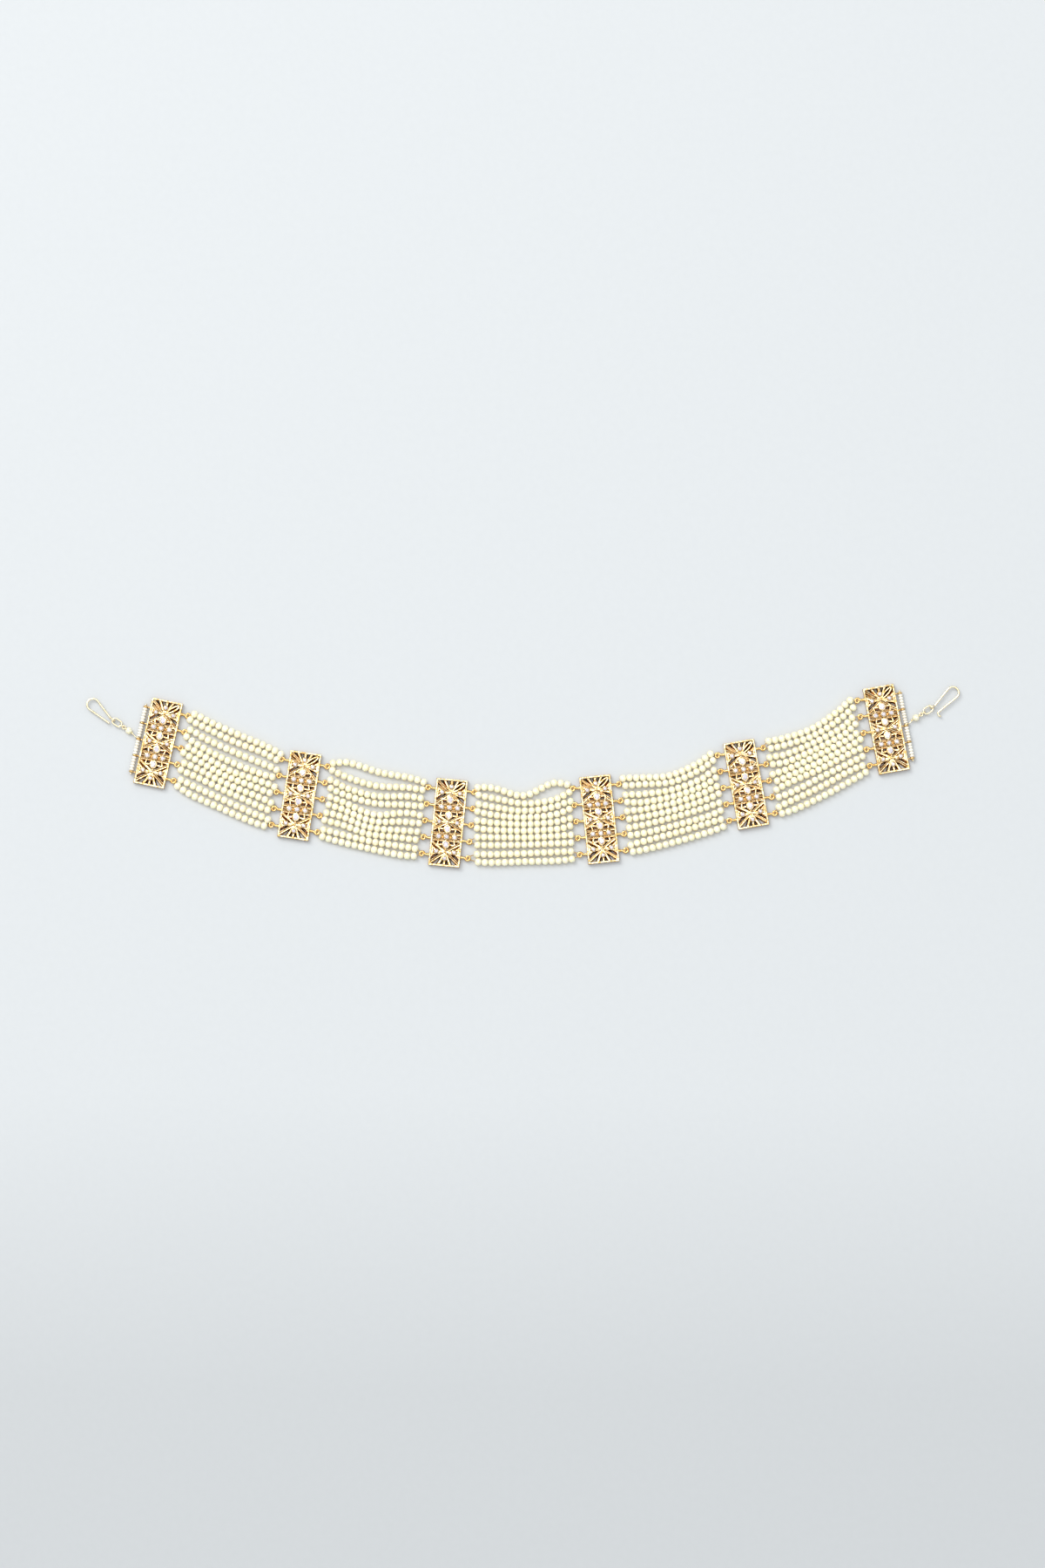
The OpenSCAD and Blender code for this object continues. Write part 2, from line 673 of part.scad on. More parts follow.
plate(0);  // plate_1
plate(1);  // plate_2
plate(2);  // plate_3
plate(3);  // plate_4
plate(4);  // plate_5
plate(5);  // plate_6
stones(0);  // stones_1
stones(1);  // stones_2
stones(2);  // stones_3
stones(3);  // stones_4
stones(4);  // stones_5
stones(5);  // stones_6
string_pair(0, 0);  // strings_1a
string_pair(0, 1);  // strings_1b
string_pair(0, 2);  // strings_1c
string_pair(0, 3);  // strings_1d
string_pair(1, 0);  // strings_2a
string_pair(1, 1);  // strings_2b
string_pair(1, 2);  // strings_2c
string_pair(1, 3);  // strings_2d
string_pair(2, 0);  // strings_3a
string_pair(2, 1);  // strings_3b
string_pair(2, 2);  // strings_3c
string_pair(2, 3);  // strings_3d
string_pair(3, 0);  // strings_4a
string_pair(3, 1);  // strings_4b
string_pair(3, 2);  // strings_4c
string_pair(3, 3);  // strings_4d
string_pair(4, 0);  // strings_5a
string_pair(4, 1);  // strings_5b
string_pair(4, 2);  // strings_5c
string_pair(4, 3);  // strings_5d
pearls(0);  // pearls_1
pearls(1);  // pearls_2
pearls(2);  // pearls_3
pearls(3);  // pearls_4
pearls(4);  // pearls_5
thread(0);  // thread_1
thread(1);  // thread_2
thread(2);  // thread_3
thread(3);  // thread_4
thread(4);  // thread_5
bead_bar(0);  // bead_bar_left
bead_bar(1);  // bead_bar_right
bar_pin(0);  // bar_pin_left
bar_pin(1);  // bar_pin_right
eye_pin(0);  // eye_pin_left
eye_pin(1);  // eye_pin_right
end_pearl(0);  // end_pearl_left
end_pearl(1);  // end_pearl_right
short_link(0);  // short_link_left
short_link(1);  // short_link_right
oval_link(0);  // oval_link_left
oval_link(1);  // oval_link_right
hook(0);  // hook_left
hook(1);  // hook_right
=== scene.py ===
"""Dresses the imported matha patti: gold plates with stones, pearl strings, bead bars and hooks."""

import logging
import math
import random
from dataclasses import dataclass, field
from enum import Enum
from typing import Sequence

import bpy
import numpy as np
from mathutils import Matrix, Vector

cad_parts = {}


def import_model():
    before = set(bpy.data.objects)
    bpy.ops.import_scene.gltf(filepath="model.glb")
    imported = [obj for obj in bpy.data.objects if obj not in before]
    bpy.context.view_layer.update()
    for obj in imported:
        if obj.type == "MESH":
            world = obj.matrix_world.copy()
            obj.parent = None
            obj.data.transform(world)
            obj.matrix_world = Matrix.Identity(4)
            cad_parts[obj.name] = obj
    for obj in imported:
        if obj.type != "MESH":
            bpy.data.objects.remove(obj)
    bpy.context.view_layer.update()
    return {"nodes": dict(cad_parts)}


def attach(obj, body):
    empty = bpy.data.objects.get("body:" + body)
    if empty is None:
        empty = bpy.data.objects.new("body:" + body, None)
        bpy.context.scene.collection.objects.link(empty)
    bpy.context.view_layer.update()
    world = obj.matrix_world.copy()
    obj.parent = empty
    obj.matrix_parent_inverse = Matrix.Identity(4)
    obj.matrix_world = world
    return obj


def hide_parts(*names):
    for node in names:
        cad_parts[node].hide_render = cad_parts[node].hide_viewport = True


MM = 0.001
BODY = "root"
WHITE = (1.0, 1.0, 1.0)
MIX_FACTOR, MIX_A, MIX_B, MIX_RESULT = 0, 6, 7, 2
PLATE_SEED, STRING_SEED, BEAD_SEED = 40, 70, 11
PLATES = 6
STRINGS = 10
TOP_Z = 2.99
BASE_Z = 0.3
FOOT = 0.3
SHARPEST_MITRE = 0.4
FLAT_CREASE, ROUND_CREASE = 38, 60
LARGER_PEARLS = {"pearl_d": 3.06, "pitch": 3.04}
log = logging.getLogger("matha_patti")

Point = Sequence[float]
Outline = np.ndarray
Pair = tuple[float, float]
Colour = tuple[float, float, float]
Socket = bpy.types.NodeSocket
Material = bpy.types.Material
Piece = bpy.types.Object


class Slot(Enum):
    """The record's material slots."""

    GOLD = "gold"
    CRYSTAL = "crystal"
    PEARL = "pearl"
    SEED_BEAD = "seed_bead"
    THREAD = "thread"


class Side(Enum):
    """The two ends of the band, with the sign of x that each one has."""

    LEFT = -1
    RIGHT = 1

    @property
    def word(self) -> str:
        """The end's name in the names of its pieces."""
        return self.name.lower()

    @property
    def plate(self) -> int:
        """Number of the plate at this end."""
        return 0 if self is Side.LEFT else PLATES - 1


class Crossing(Enum):
    """How a string's thread passes its ring's wire."""

    OVER = 1
    UNDER = -1


# ---- the plan of the band, in millimetres


def turned(point: Point, degrees: float) -> np.ndarray:
    """Turn a point of the plane about the origin, counterclockwise."""
    c, s = math.cos(math.radians(degrees)), math.sin(math.radians(degrees))
    return np.array([point[0] * c - point[1] * s, point[0] * s + point[1] * c])


def unit(way: np.ndarray) -> np.ndarray:
    """Directions of length 1, of one vector or of one to a row."""
    return way / np.linalg.norm(way, axis=-1, keepdims=True)


def left_of(way: np.ndarray) -> np.ndarray:
    """A flat vector turned a quarter to its left."""
    return np.array([-way[1], way[0]])


@dataclass(frozen=True)
class Plan:
    """Sizes and places of the plates, rings and strings, as the CAD part has them."""

    plate_w: float = 13.9
    plate_l: float = 38.9
    rim_w: float = 0.9
    ring_pitch: float = 7.4
    ring_reach: float = 3.2
    ring_r: float = 1.0
    ring_count: int = 5
    string_z: float = 1.475
    pearl_count: int = 15
    first_plate: Pair = (-162.113, 14.436)
    step: float = 67.1
    plate_turns: tuple[float, ...] = (-12, -8.5, -5.5, 6, 9.8, 10.3)
    step_turns: tuple[float, ...] = (-20.4, -10.4, 1.3, 13.5, 21.5)
    end_turns: Pair = (145, 33)
    pin_reach: float = 2.1
    eye_off: float = 0.63

    def plate_centre(self, plate: int) -> np.ndarray:
        """Middle of a plate, whose number counts from 0 at the left."""
        centre = np.array(self.first_plate, float)
        for turn in self.step_turns[:plate]:
            centre = centre + turned((self.step, 0), turn)
        return centre

    def on_plate(self, plate: int, point: Point) -> np.ndarray:
        """Place in the plan of a point that is known from its plate's middle."""
        return self.plate_centre(plate) + turned(point, self.plate_turns[plate])

    def ring_y(self, row: int) -> float:
        """Place of a ring along its plate."""
        return ((self.ring_count - 1) / 2 - row) * self.ring_pitch

    def ring(self, plate: int, side: int, row: int) -> np.ndarray:
        """Middle of the ring in a row on one side of a plate."""
        return self.on_plate(plate, (side * (self.plate_w / 2 + self.ring_reach), self.ring_y(row)))

    def pin(self, side: Side) -> np.ndarray:
        """Middle of the pin beside the end plate."""
        return self.on_plate(side.plate, (side.value * (self.plate_w / 2 + self.pin_reach), 0))


BOW_AT = np.array([0.062, 0.2, 0.5, 0.8, 0.938])
BOWS = np.array([
    [[24, 21, 24, 31, 27], [-18, -21, -24, -11, -14], [26, 16, 16, 24, 26],
     [-24, -39, -47, -37, -24], [24, 16, 0, 18, 24], [-21, -26, -39, -26, -21],
     [24, 26, 16, 24, 24], [-21, -21, -24, -24, -24], [21, 18, 18, 18, 21],
     [-21, -34, -34, -31, -22]],
    [[27, 47, 29, 34, 26], [-18, -39, -55, -26, -21], [21, -3, -16, 21, 26],
     [-24, -45, -60, -31, -21], [21, 8, -29, 21, 24], [-24, -34, -68, -34, -24],
     [24, 21, -8, 13, 24], [-21, -26, -47, -31, -24], [21, 16, 10, 18, 21],
     [-21, -29, -34, -34, -22]],
    [[26, 18, -31, 37, 27], [-22, -42, -79, -63, -27], [24, 5, -26, -5, 21],
     [-21, -42, -65, -52, -24], [24, 10, -5, 3, 21], [-21, -34, -45, -42, -24],
     [24, 21, 16, 18, 21], [-21, -26, -29, -26, -24], [21, 18, 18, 21, 21],
     [-21, -31, -31, -31, -22]],
    [[24, 3, -37, -13, 20], [-21, -39, -76, -52, -22], [24, 3, -24, -10, 20],
     [-21, -47, -63, -52, -26], [24, 10, -3, 5, 21], [-24, -34, -45, -37, -24],
     [24, 18, 13, 16, 21], [-21, -31, -37, -37, -24], [21, 21, 18, 21, 21],
     [-21, -29, -34, -31, -22]],
    [[22, -3, -29, -3, 22], [-24, -45, -71, -47, -24], [24, 0, -13, -8, 22],
     [-21, -45, -52, -46, -21], [22, 10, 5, 7, 19], [-24, -29, -37, -31, -24],
     [24, 29, 21, 26, 24], [-21, -29, -26, -26, -24], [21, 21, 18, 26, 21],
     [-21, -34, -37, -29, -22]],
], float)


@dataclass(frozen=True)
class Route:
    """The line of one pearl string from its left ring to its right ring."""

    plan: Plan
    gap: int
    string: int

    @property
    def start(self) -> np.ndarray:
        """Middle of the left ring."""
        return self.plan.ring(self.gap, 1, self.string // 2)

    @property
    def end(self) -> np.ndarray:
        """Middle of the right ring."""
        return self.plan.ring(self.gap + 1, -1, self.string // 2)

    @property
    def chord(self) -> float:
        """Distance between the two rings."""
        return float(np.linalg.norm(self.end - self.start))

    @property
    def crossing(self) -> Crossing:
        """The upper string of a pair goes over its ring's wire."""
        return Crossing.OVER if self.string % 2 == 0 else Crossing.UNDER

    def slope(self, k: int) -> float:
        """Slope of the sideways place at a station."""
        row, end = BOWS[self.gap][self.string], BOW_AT[1] - 0.5 * BOW_AT[0]
        if k == 0:
            return (row[1] - 0.5 * row[0]) / end
        if k == 4:
            return (0.5 * row[4] - row[3]) / end
        return (row[k + 1] - row[k - 1]) / (BOW_AT[k + 1] - BOW_AT[k - 1])

    def bow(self, share: float) -> float:
        """Give the sideways place of the string.

        Args:
            share: The share of the way from ring to ring.

        Returns:
            The distance off the straight line, in hundredths of the ring pitch.
        """
        row = BOWS[self.gap][self.string]
        if share <= BOW_AT[0]:
            return row[0] + self.slope(0) * (share - BOW_AT[0])
        if share >= BOW_AT[4]:
            return row[4] + self.slope(4) * (share - BOW_AT[4])
        k = min(3, int(np.searchsorted(BOW_AT, share, side="right")) - 1)
        h = BOW_AT[k + 1] - BOW_AT[k]
        u = (share - BOW_AT[k]) / h
        return (row[k] * (1 + 2 * u) * (1 - u) ** 2 + self.slope(k) * h * u * (1 - u) ** 2
                + row[k + 1] * (3 - 2 * u) * u * u - self.slope(k + 1) * h * (1 - u) * u * u)

    def beside(self, d: float, side: float, z: float) -> np.ndarray:
        """Give a point from its distance along the line of the rings and its sideways place."""
        way = unit(self.end - self.start)
        return np.array([*(self.start + way * d + left_of(way) * side), z])

    def at(self, d: float) -> np.ndarray:
        """Middle of the string at a distance along the line of the rings."""
        return self.beside(d, self.bow(d / self.chord) * self.plan.ring_pitch / 100,
                           self.plan.string_z)


# ---- meshes


def circle(r: float, sides: int) -> np.ndarray:
    """Flat points of a circle about the origin, counterclockwise from the right."""
    turn = np.arange(sides) * 2 * math.pi / sides
    return np.column_stack([np.cos(turn), np.sin(turn)]) * r


def level(flat: np.ndarray, z: float) -> np.ndarray:
    """Flat points raised to one height."""
    return np.column_stack([flat, np.full(len(flat), z)])


def upright(flat: np.ndarray, z: float) -> np.ndarray:
    """Flat points stood up in the plane of x and z, with their origin at a height."""
    return np.column_stack([flat[:, 0], np.zeros(len(flat)), z + flat[:, 1]])


def neighbours(path: np.ndarray, closed: bool) -> tuple[np.ndarray, np.ndarray]:
    """Points after and points before each point of a path, whose open ends go on straight."""
    if closed:
        return np.roll(path, -1, 0), np.roll(path, 1, 0)
    return (np.vstack([path[1:], [2 * path[-1] - path[-2]]]),
            np.vstack([[2 * path[0] - path[1]], path[:-1]]))


def in_scene(name: str, data: bpy.types.ID) -> Piece:
    """Make an object of its data and put it into the scene."""
    piece = bpy.data.objects.new(name, data)
    bpy.context.scene.collection.objects.link(piece)
    return piece


class Work:
    """Collects vertices and faces in millimetres, and makes one Blender object of them."""

    def __init__(self) -> None:
        """Start with an empty mesh."""
        self.points: list[np.ndarray] = []
        self.faces: list[tuple[int, ...]] = []
        self.finishes: list[int] = []
        self.smooth: list[bool] = []
        self.tints: list[np.ndarray] = []
        self.count = 0

    def add(self, points: np.ndarray, faces: Sequence[Sequence[int]], finish: int = 0,
            smooth: bool = True, tint: float | np.ndarray = 0.5) -> None:
        """Add one solid.

        Args:
            points: Its vertices, one to a row.
            faces: Its faces, as numbers of the vertices.
            finish: Which of the object's finishes it takes.
            smooth: Whether its faces are shaded smooth.
            tint: One value for all its vertices, or one to a vertex.
        """
        base = self.count
        self.points.append(np.asarray(points, float))
        self.faces.extend(tuple(base + i for i in f) for f in faces)
        self.finishes.extend([finish] * len(faces))
        self.smooth.extend([smooth] * len(faces))
        self.tints.append(np.broadcast_to(np.asarray(tint, float), (len(points),)).copy())
        self.count += len(points)

    def rings(self, sections: Sequence[np.ndarray], closed: bool = False, finish: int = 0,
              tint: float | np.ndarray = 0.5) -> None:
        """Add a skin over sections that all have the same number of points.

        Args:
            sections: The sections in order, each a closed loop of points.
            closed: Whether the last section joins the first; if not, both ends are capped.
            finish: Which finish it takes.
            tint: One value, one to a section or one to a vertex.
        """
        n, m = len(sections[0]), len(sections)
        faces: list[tuple[int, ...]] = []
        for i in range(m if closed else m - 1):
            a, b = i * n, (i + 1) % m * n
            faces.extend((a + j, a + (j + 1) % n, b + (j + 1) % n, b + j) for j in range(n))
        if not closed:
            faces.append(tuple(range(n - 1, -1, -1)))
            faces.append(tuple((m - 1) * n + j for j in range(n)))
        if np.size(tint) == n * m:
            tints = np.ravel(tint)
        else:
            tints = np.repeat(np.broadcast_to(np.asarray(tint, float), (m,)), n)
        self.add(np.vstack(sections), faces, finish, tint=tints)

    def stack(self, at: Point, levels: Sequence[Pair], sides: int, tint: float = 0.5) -> None:
        """Add a round solid of level rings, each with its height over a place and its radius."""
        self.rings([level(circle(r, sides), z) + np.array(at) for z, r in levels], tint=tint)

    def tube(self, path: np.ndarray, radius: float | Sequence[float], sides: int,
             closed: bool = False, finish: int = 0) -> None:
        """Add a round wire along a path.

        Args:
            path: The points that it follows.
            radius: Its radius, or one to a point.
            sides: The number of sides of its section.
            closed: Whether its end joins its start.
            finish: Which finish it takes.
        """
        ahead, behind = neighbours(path, closed)
        ways = unit(ahead - behind)
        side = np.cross((0, 0, 1), ways[0])
        if np.linalg.norm(side) < 1e-3:
            side = np.array([1.0, 0, 0])
        sections = []
        for p, r, way in zip(path, np.broadcast_to(radius, (len(path),)), ways):
            side = unit(side - way * side.dot(way))
            sections.append(p + circle(r, sides) @ np.array([side, np.cross(way, side)]))
        self.rings(sections, closed, finish)

    def bar(self, path: Sequence[Point], profile: np.ndarray, closed: bool = False,
            tint: float | np.ndarray = 0.5, widths: Sequence[float] | None = None,
            lifts: Sequence[float] | None = None) -> None:
        """Add a bar of one profile along a flat path, with mitred corners.

        Args:
            path: The points of the plane that it follows.
            profile: Its section, as sideways place and height.
            closed: Whether its end joins its start.
            tint: One value, or one to a point of the profile.
            widths: The share of the profile's width at each point.
            lifts: What is added to the heights above the foot at each point.
        """
        path, n = np.array(path, float), len(path)
        ahead, behind = neighbours(path, closed)
        above_foot = profile[:, 1] > profile[:, 1].min() + FOOT
        widths, lifts, sections = widths or [1] * n, lifts or [0] * n, []
        for p, before, after, w, lift in zip(path, behind, ahead, widths, lifts):
            a, b = unit(p - before), unit(after - p)
            mid = unit(a + b)
            out = left_of(mid) / max(SHARPEST_MITRE, float(mid.dot(a)))
            flat = p + np.outer(profile[:, 0] * w, out)
            sections.append(np.column_stack([flat, profile[:, 1] + lift * above_foot]))
        self.rings(sections, closed, tint=np.tile(tint, n) if np.size(tint) > 1 else tint)

    def moved(self, turn: float, shift: Point) -> None:
        """Turn everything about z, in degrees, and move it in the plane."""
        spin = np.array([[*turned((1, 0), turn), 0], [*turned((0, 1), turn), 0], [0, 0, 1]])
        self.points = [p @ spin + (*shift, 0) for p in self.points]

    def make(self, name: str, finishes: Sequence[Material], slot: Slot,
             nodes: Sequence[str] = (), crease: float = FLAT_CREASE) -> Piece:
        """Make the object, put it on the body and hide the CAD nodes that it stands for.

        Args:
            name: The object's name.
            finishes: Its materials.
            slot: The record's material slot; not used.
            nodes: The CAD nodes that it replaces.
            crease: The angle between faces past which an edge stays sharp, in degrees.

        Returns:
            The object.
        """
        mesh = bpy.data.meshes.new(name)
        mesh.from_pydata((np.vstack(self.points) * MM).tolist(), [], self.faces)
        mesh.polygons.foreach_set("material_index", self.finishes)
        mesh.polygons.foreach_set("use_smooth", self.smooth)
        tint = mesh.attributes.new("tint", "FLOAT", "POINT")
        tint.data.foreach_set("value", np.concatenate(self.tints).astype(np.float32))
        mesh.update()
        mesh.set_sharp_from_angle(angle=math.radians(crease))
        for finish in finishes:
            mesh.materials.append(finish)
        piece = in_scene(name, mesh)
        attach(piece, BODY)
        if nodes:
            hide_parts(*nodes)
        triangles = sum(len(f) - 2 for f in self.faces)
        log.info("%s: %d triangles, replaces %s", name, triangles, ", ".join(nodes) or "nothing")
        return piece


# ---- finishes


class Shader:
    """A short way to write a node material."""

    def __init__(self, name: str) -> None:
        """Start a material of a name with its surface shader."""
        self.material = bpy.data.materials.new(name)
        self.material.use_nodes = True
        self.tree = self.material.node_tree
        self.surface = self.tree.nodes["Principled BSDF"]
        self.place = self.tree.nodes.new("ShaderNodeTexCoord").outputs["Object"]

    def node(self, kind: str, inputs: dict[str | int, object] | None = None,
             **values: object) -> bpy.types.Node:
        """Add a node with its properties and inputs.

        Args:
            kind: The node's type.
            inputs: What each of its inputs gets: a socket that it is joined to, or a value.
            values: Its properties.

        Returns:
            The node.
        """
        node = self.tree.nodes.new(kind)
        for key, value in values.items():
            setattr(node, key, value)
        for key, value in (inputs or {}).items():
            if isinstance(value, Socket):
                self.tree.links.new(value, node.inputs[key])
            else:
                node.inputs[key].default_value = value
        return node

    def set(self, **values: float | tuple[float, ...]) -> None:
        """Set the surface shader's own sockets, with underscores for spaces in their names."""
        for key, value in values.items():
            self.surface.inputs[key.replace("_", " ")].default_value = value

    def paint(self, source: Socket, target: str = "Base Color") -> None:
        """Join a socket to one of the surface shader's own, its colour unless named."""
        self.tree.links.new(source, self.surface.inputs[target])

    def noise(self, size_mm: float, detail: float = 2.0) -> Socket:
        """Noise whose features have a size in millimetres."""
        return self.node("ShaderNodeTexNoise", {
            "Vector": self.place, "Scale": 1 / (size_mm * MM), "Detail": detail}).outputs["Fac"]

    def tint(self) -> Socket:
        """The mesh's own tint value."""
        return self.node("ShaderNodeAttribute", attribute_name="tint").outputs["Fac"]

    def ramp(self, value: Socket, stops: Sequence[tuple[float, Colour]]) -> Socket:
        """Turn a value into a colour.

        Args:
            value: The value's socket.
            stops: Values and their linear colours.

        Returns:
            The colour's socket.
        """
        ramp = self.node("ShaderNodeValToRGB", {"Fac": value})
        elements = ramp.color_ramp.elements
        while len(elements) < len(stops):
            elements.new(0.5)
        for element, (at, colour) in zip(elements, stops):
            element.position = at
            element.color = (*colour, 1)
        return ramp.outputs["Color"]

    def span(self, value: Socket, low: float, high: float, to_low: float,
             to_high: float) -> Socket:
        """Value mapped from the range low to high to another range, and held at its ends."""
        return self.node("ShaderNodeMapRange", {
            "Value": value, "From Min": low, "From Max": high, "To Min": to_low,
            "To Max": to_high}).outputs["Result"]

    def mix(self, share: Socket | float, a: Socket, b: Socket | Colour,
            blend: str = "MIX") -> Socket:
        """First colour with a share of the second one laid over it."""
        inputs = {MIX_FACTOR: share, MIX_A: a, MIX_B: b if isinstance(b, Socket) else (*b, 1)}
        node = self.node("ShaderNodeMix", inputs, data_type="RGBA", blend_type=blend)
        return node.outputs[MIX_RESULT]

    def times(self, a: Socket, b: Socket) -> Socket:
        """Multiply two colours."""
        return self.mix(1.0, a, b, "MULTIPLY")

    def along(self, axis: str) -> Socket:
        """Place along an axis, in metres; along Z it is the height over the surface."""
        return self.node("ShaderNodeSeparateXYZ", {"Vector": self.place}).outputs[axis]

    def bump(self, value: Socket, depth_mm: float, strength: float = 1.0) -> None:
        """Give the surface relief from a value, with its depth and the share that shows."""
        node = self.node("ShaderNodeBump", {"Height": value, "Distance": depth_mm * MM,
                                            "Strength": strength})
        self.paint(node.outputs["Normal"], "Normal")


@dataclass(frozen=True)
class GoldFinish:
    """Polished pale gold with dents that break its reflections, and painted shade in its recesses
    and grooves.
    """

    name: str = "gold_plate"
    light: Colour = (0.80, 0.68, 0.45)
    deep: Colour = (0.58, 0.36, 0.13)
    # Painted shade: the brown that low surfaces go to, between the two heights below, in mm.
    recess: Colour = (0.48, 0.25, 0.06)
    recess_from: float = 0.7
    recess_to: float = 1.5
    # Painted shade: the near-black of groove bottoms and of the small posts by the flowers.
    slot: Colour = (0.15, 0.065, 0.014)
    rough: Pair = (0.12, 0.28)
    dent: float = 0.08

    def make(self) -> Material:
        """Build the material."""
        s = Shader(self.name)
        s.set(Metallic=1.0)
        blotch = s.ramp(s.noise(0.9, 3), [(0.42, self.deep), (0.56, self.light)])
        # Painted shade: surfaces low down, in the recesses, go towards the painted brown.
        low = s.span(s.along("Z"), self.recess_from * MM, self.recess_to * MM, 1, 0)
        # Painted shade: a tint over 0.6 goes towards the near-black of the grooves.
        grooved = s.span(s.tint(), 0.6, 1.0, 0, 1)
        s.paint(s.mix(grooved, s.mix(low, blotch, self.recess), self.slot))
        s.paint(s.span(s.noise(0.35, 3), 0.3, 0.7, *self.rough), "Roughness")
        s.bump(s.noise(0.55, 2), self.dent, 1.0)
        return s.material


@dataclass(frozen=True)
class PearlFinish:
    """Cream imitation pearl: gloss on its upper half, painted yellow shade below and in its bore.
    """

    name: str = "pearl_lustre"
    body: Colour = (0.90, 0.86, 0.66)
    warm: Colour = (0.89, 0.82, 0.57)
    # Painted shade: the next two colours are for in and at the bore, and for the lower half.
    bore_shade: Colour = (0.60, 0.44, 0.12)
    under: Colour = (1.0, 0.76, 0.34)

    def make(self) -> Material:
        """Build the material."""
        s = Shader(self.name)
        s.set(Roughness=0.3, Specular_IOR_Level=0.15, Coat_Roughness=0.05, Coat_IOR=2.0,
              Sheen_Weight=0.7, Sheen_Roughness=0.4, Sheen_Tint=(1.0, 0.90, 0.62, 1.0),
              Subsurface_Weight=0.5, Subsurface_Radius=(1.0, 0.78, 0.3), Subsurface_Scale=0.0018)
        # Tint ramp: each pearl's random tone runs from body towards warm; the bore's added tint
        # paints shade.
        shade = s.ramp(s.tint(), [(0.0, self.body), (0.45, self.warm), (1.0, self.bore_shade)])
        pale = s.ramp(s.noise(2.2, 2), [(0.3, (0.96, 0.94, 0.88)), (0.7, WHITE)])
        # Painted shade: below 2.1 mm the pearl goes towards the yellow of its lower half.
        low = s.span(s.along("Z"), 1.1 * MM, 2.1 * MM, 1, 0)
        s.paint(s.mix(low, s.times(shade, pale), self.under))
        s.paint(s.span(s.along("Z"), 1.7 * MM, 2.2 * MM, 0, 1), "Coat Weight")
        s.bump(s.noise(0.6, 2), 0.012, 0.35)
        return s.material


@dataclass(frozen=True)
class CrystalFinish:
    """White cut stone under a hard gloss, its facets painted bright or lilac-grey as reflected
    light.
    """

    name: str = "crystal_facets"

    def make(self) -> Material:
        """Build the material."""
        s = Shader(self.name)
        s.set(Roughness=0.06, IOR=1.9, Coat_Weight=0.6, Coat_Roughness=0.03)
        # Painted reflection and shade: each facet's tint sets how bright or lilac-grey it is.
        facet = s.ramp(s.tint(), [
            (0.0, (0.16, 0.13, 0.15)), (0.2, (0.34, 0.30, 0.36)), (0.5, (0.58, 0.54, 0.60)),
            (0.8, (0.84, 0.81, 0.84)), (1.0, (0.98, 0.96, 0.96)),
        ])
        cloud = s.ramp(s.noise(0.5, 2), [(0.35, (0.82, 0.80, 0.84)), (0.65, WHITE)])
        s.paint(s.times(facet, cloud))
        return s.material


@dataclass(frozen=True)
class SeedBeadFinish:
    """Glazed white seed bead, with painted shade in and at its bore."""

    name: str = "seed_bead_glaze"

    def make(self) -> Material:
        """Build the material."""
        s = Shader(self.name)
        s.set(Roughness=0.25, Coat_Weight=0.5, Coat_Roughness=0.1)
        # Tint ramp: a random tone per bead, with painted shade added in and at the bore.
        s.paint(s.ramp(s.tint(), [(0.0, (0.90, 0.86, 0.76)), (1.0, (0.66, 0.55, 0.38))]))
        s.bump(s.noise(0.7, 2), 0.02, 0.4)
        return s.material


@dataclass(frozen=True)
class ThreadFinish:
    """Twisted golden-beige thread."""

    name: str = "thread_twist"
    twists: float = 900

    def make(self) -> Material:
        """Build the material."""
        s = Shader(self.name)
        s.set(Roughness=0.6, Sheen_Weight=0.3)
        wave = s.node("ShaderNodeTexWave", {"Vector": s.place, "Scale": self.twists},
                      wave_type="BANDS", bands_direction="DIAGONAL").outputs["Fac"]
        s.paint(s.ramp(wave, [(0.2, (0.30, 0.17, 0.05)), (0.8, (0.62, 0.42, 0.16))]))
        s.bump(wave, 0.05)
        return s.material


@dataclass(frozen=True)
class TableFinish:
    """Pale card that the band lies on, with painted shade that makes it a little darker towards the
    viewer.
    """

    name: str = "pale_card"
    colour: Colour = (0.560, 0.582, 0.598)
    front_shade: float = 0.86
    front_shade_y: Pair = (-0.27, -0.14)

    def make(self) -> Material:
        """Build the material."""
        s = Shader(self.name)
        s.set(Roughness=0.75, Specular_IOR_Level=0.2)
        low = tuple(c * 0.985 for c in self.colour)
        grain = s.ramp(s.noise(3, 3), [(0.3, low), (0.7, self.colour)])
        # Painted shade: the card darkens towards the viewer, down to the front shade share.
        near = s.span(s.along("Y"), *self.front_shade_y, 0, 1)
        s.paint(s.times(grain, s.ramp(near, [(0.0, (self.front_shade,) * 3), (1.0, WHITE)])))
        s.bump(s.noise(0.8, 4), 0.02, 0.25)
        return s.material


def made(kind: type, **values: object) -> Material:
    """Field that holds a finish's material, which is built along with its dataclass."""
    return field(default_factory=lambda: kind(**values).make())


@dataclass
class Finishes:
    """One of each finish, shared by the pieces."""

    gold: Material = made(GoldFinish)
    # The wire and the pale gold carry the same painted shade low down.
    wire: Material = made(
        GoldFinish, name="gold_wire", light=(0.82, 0.59, 0.27), deep=(0.66, 0.39, 0.12),
        recess=(0.36, 0.15, 0.04), recess_from=0.3, recess_to=1.4, rough=(0.12, 0.24), dent=0.02)
    pale: Material = made(
        GoldFinish, name="gold_pale", light=(0.92, 0.82, 0.58), deep=(0.84, 0.70, 0.44),
        recess=(0.50, 0.33, 0.14), recess_from=0.2, recess_to=1.2, rough=(0.14, 0.22), dent=0.01)
    pearl: Material = made(PearlFinish)
    crystal: Material = made(CrystalFinish)
    seed: Material = made(SeedBeadFinish)
    thread: Material = made(ThreadFinish)
    table: Material = made(TableFinish)


# ---- plates


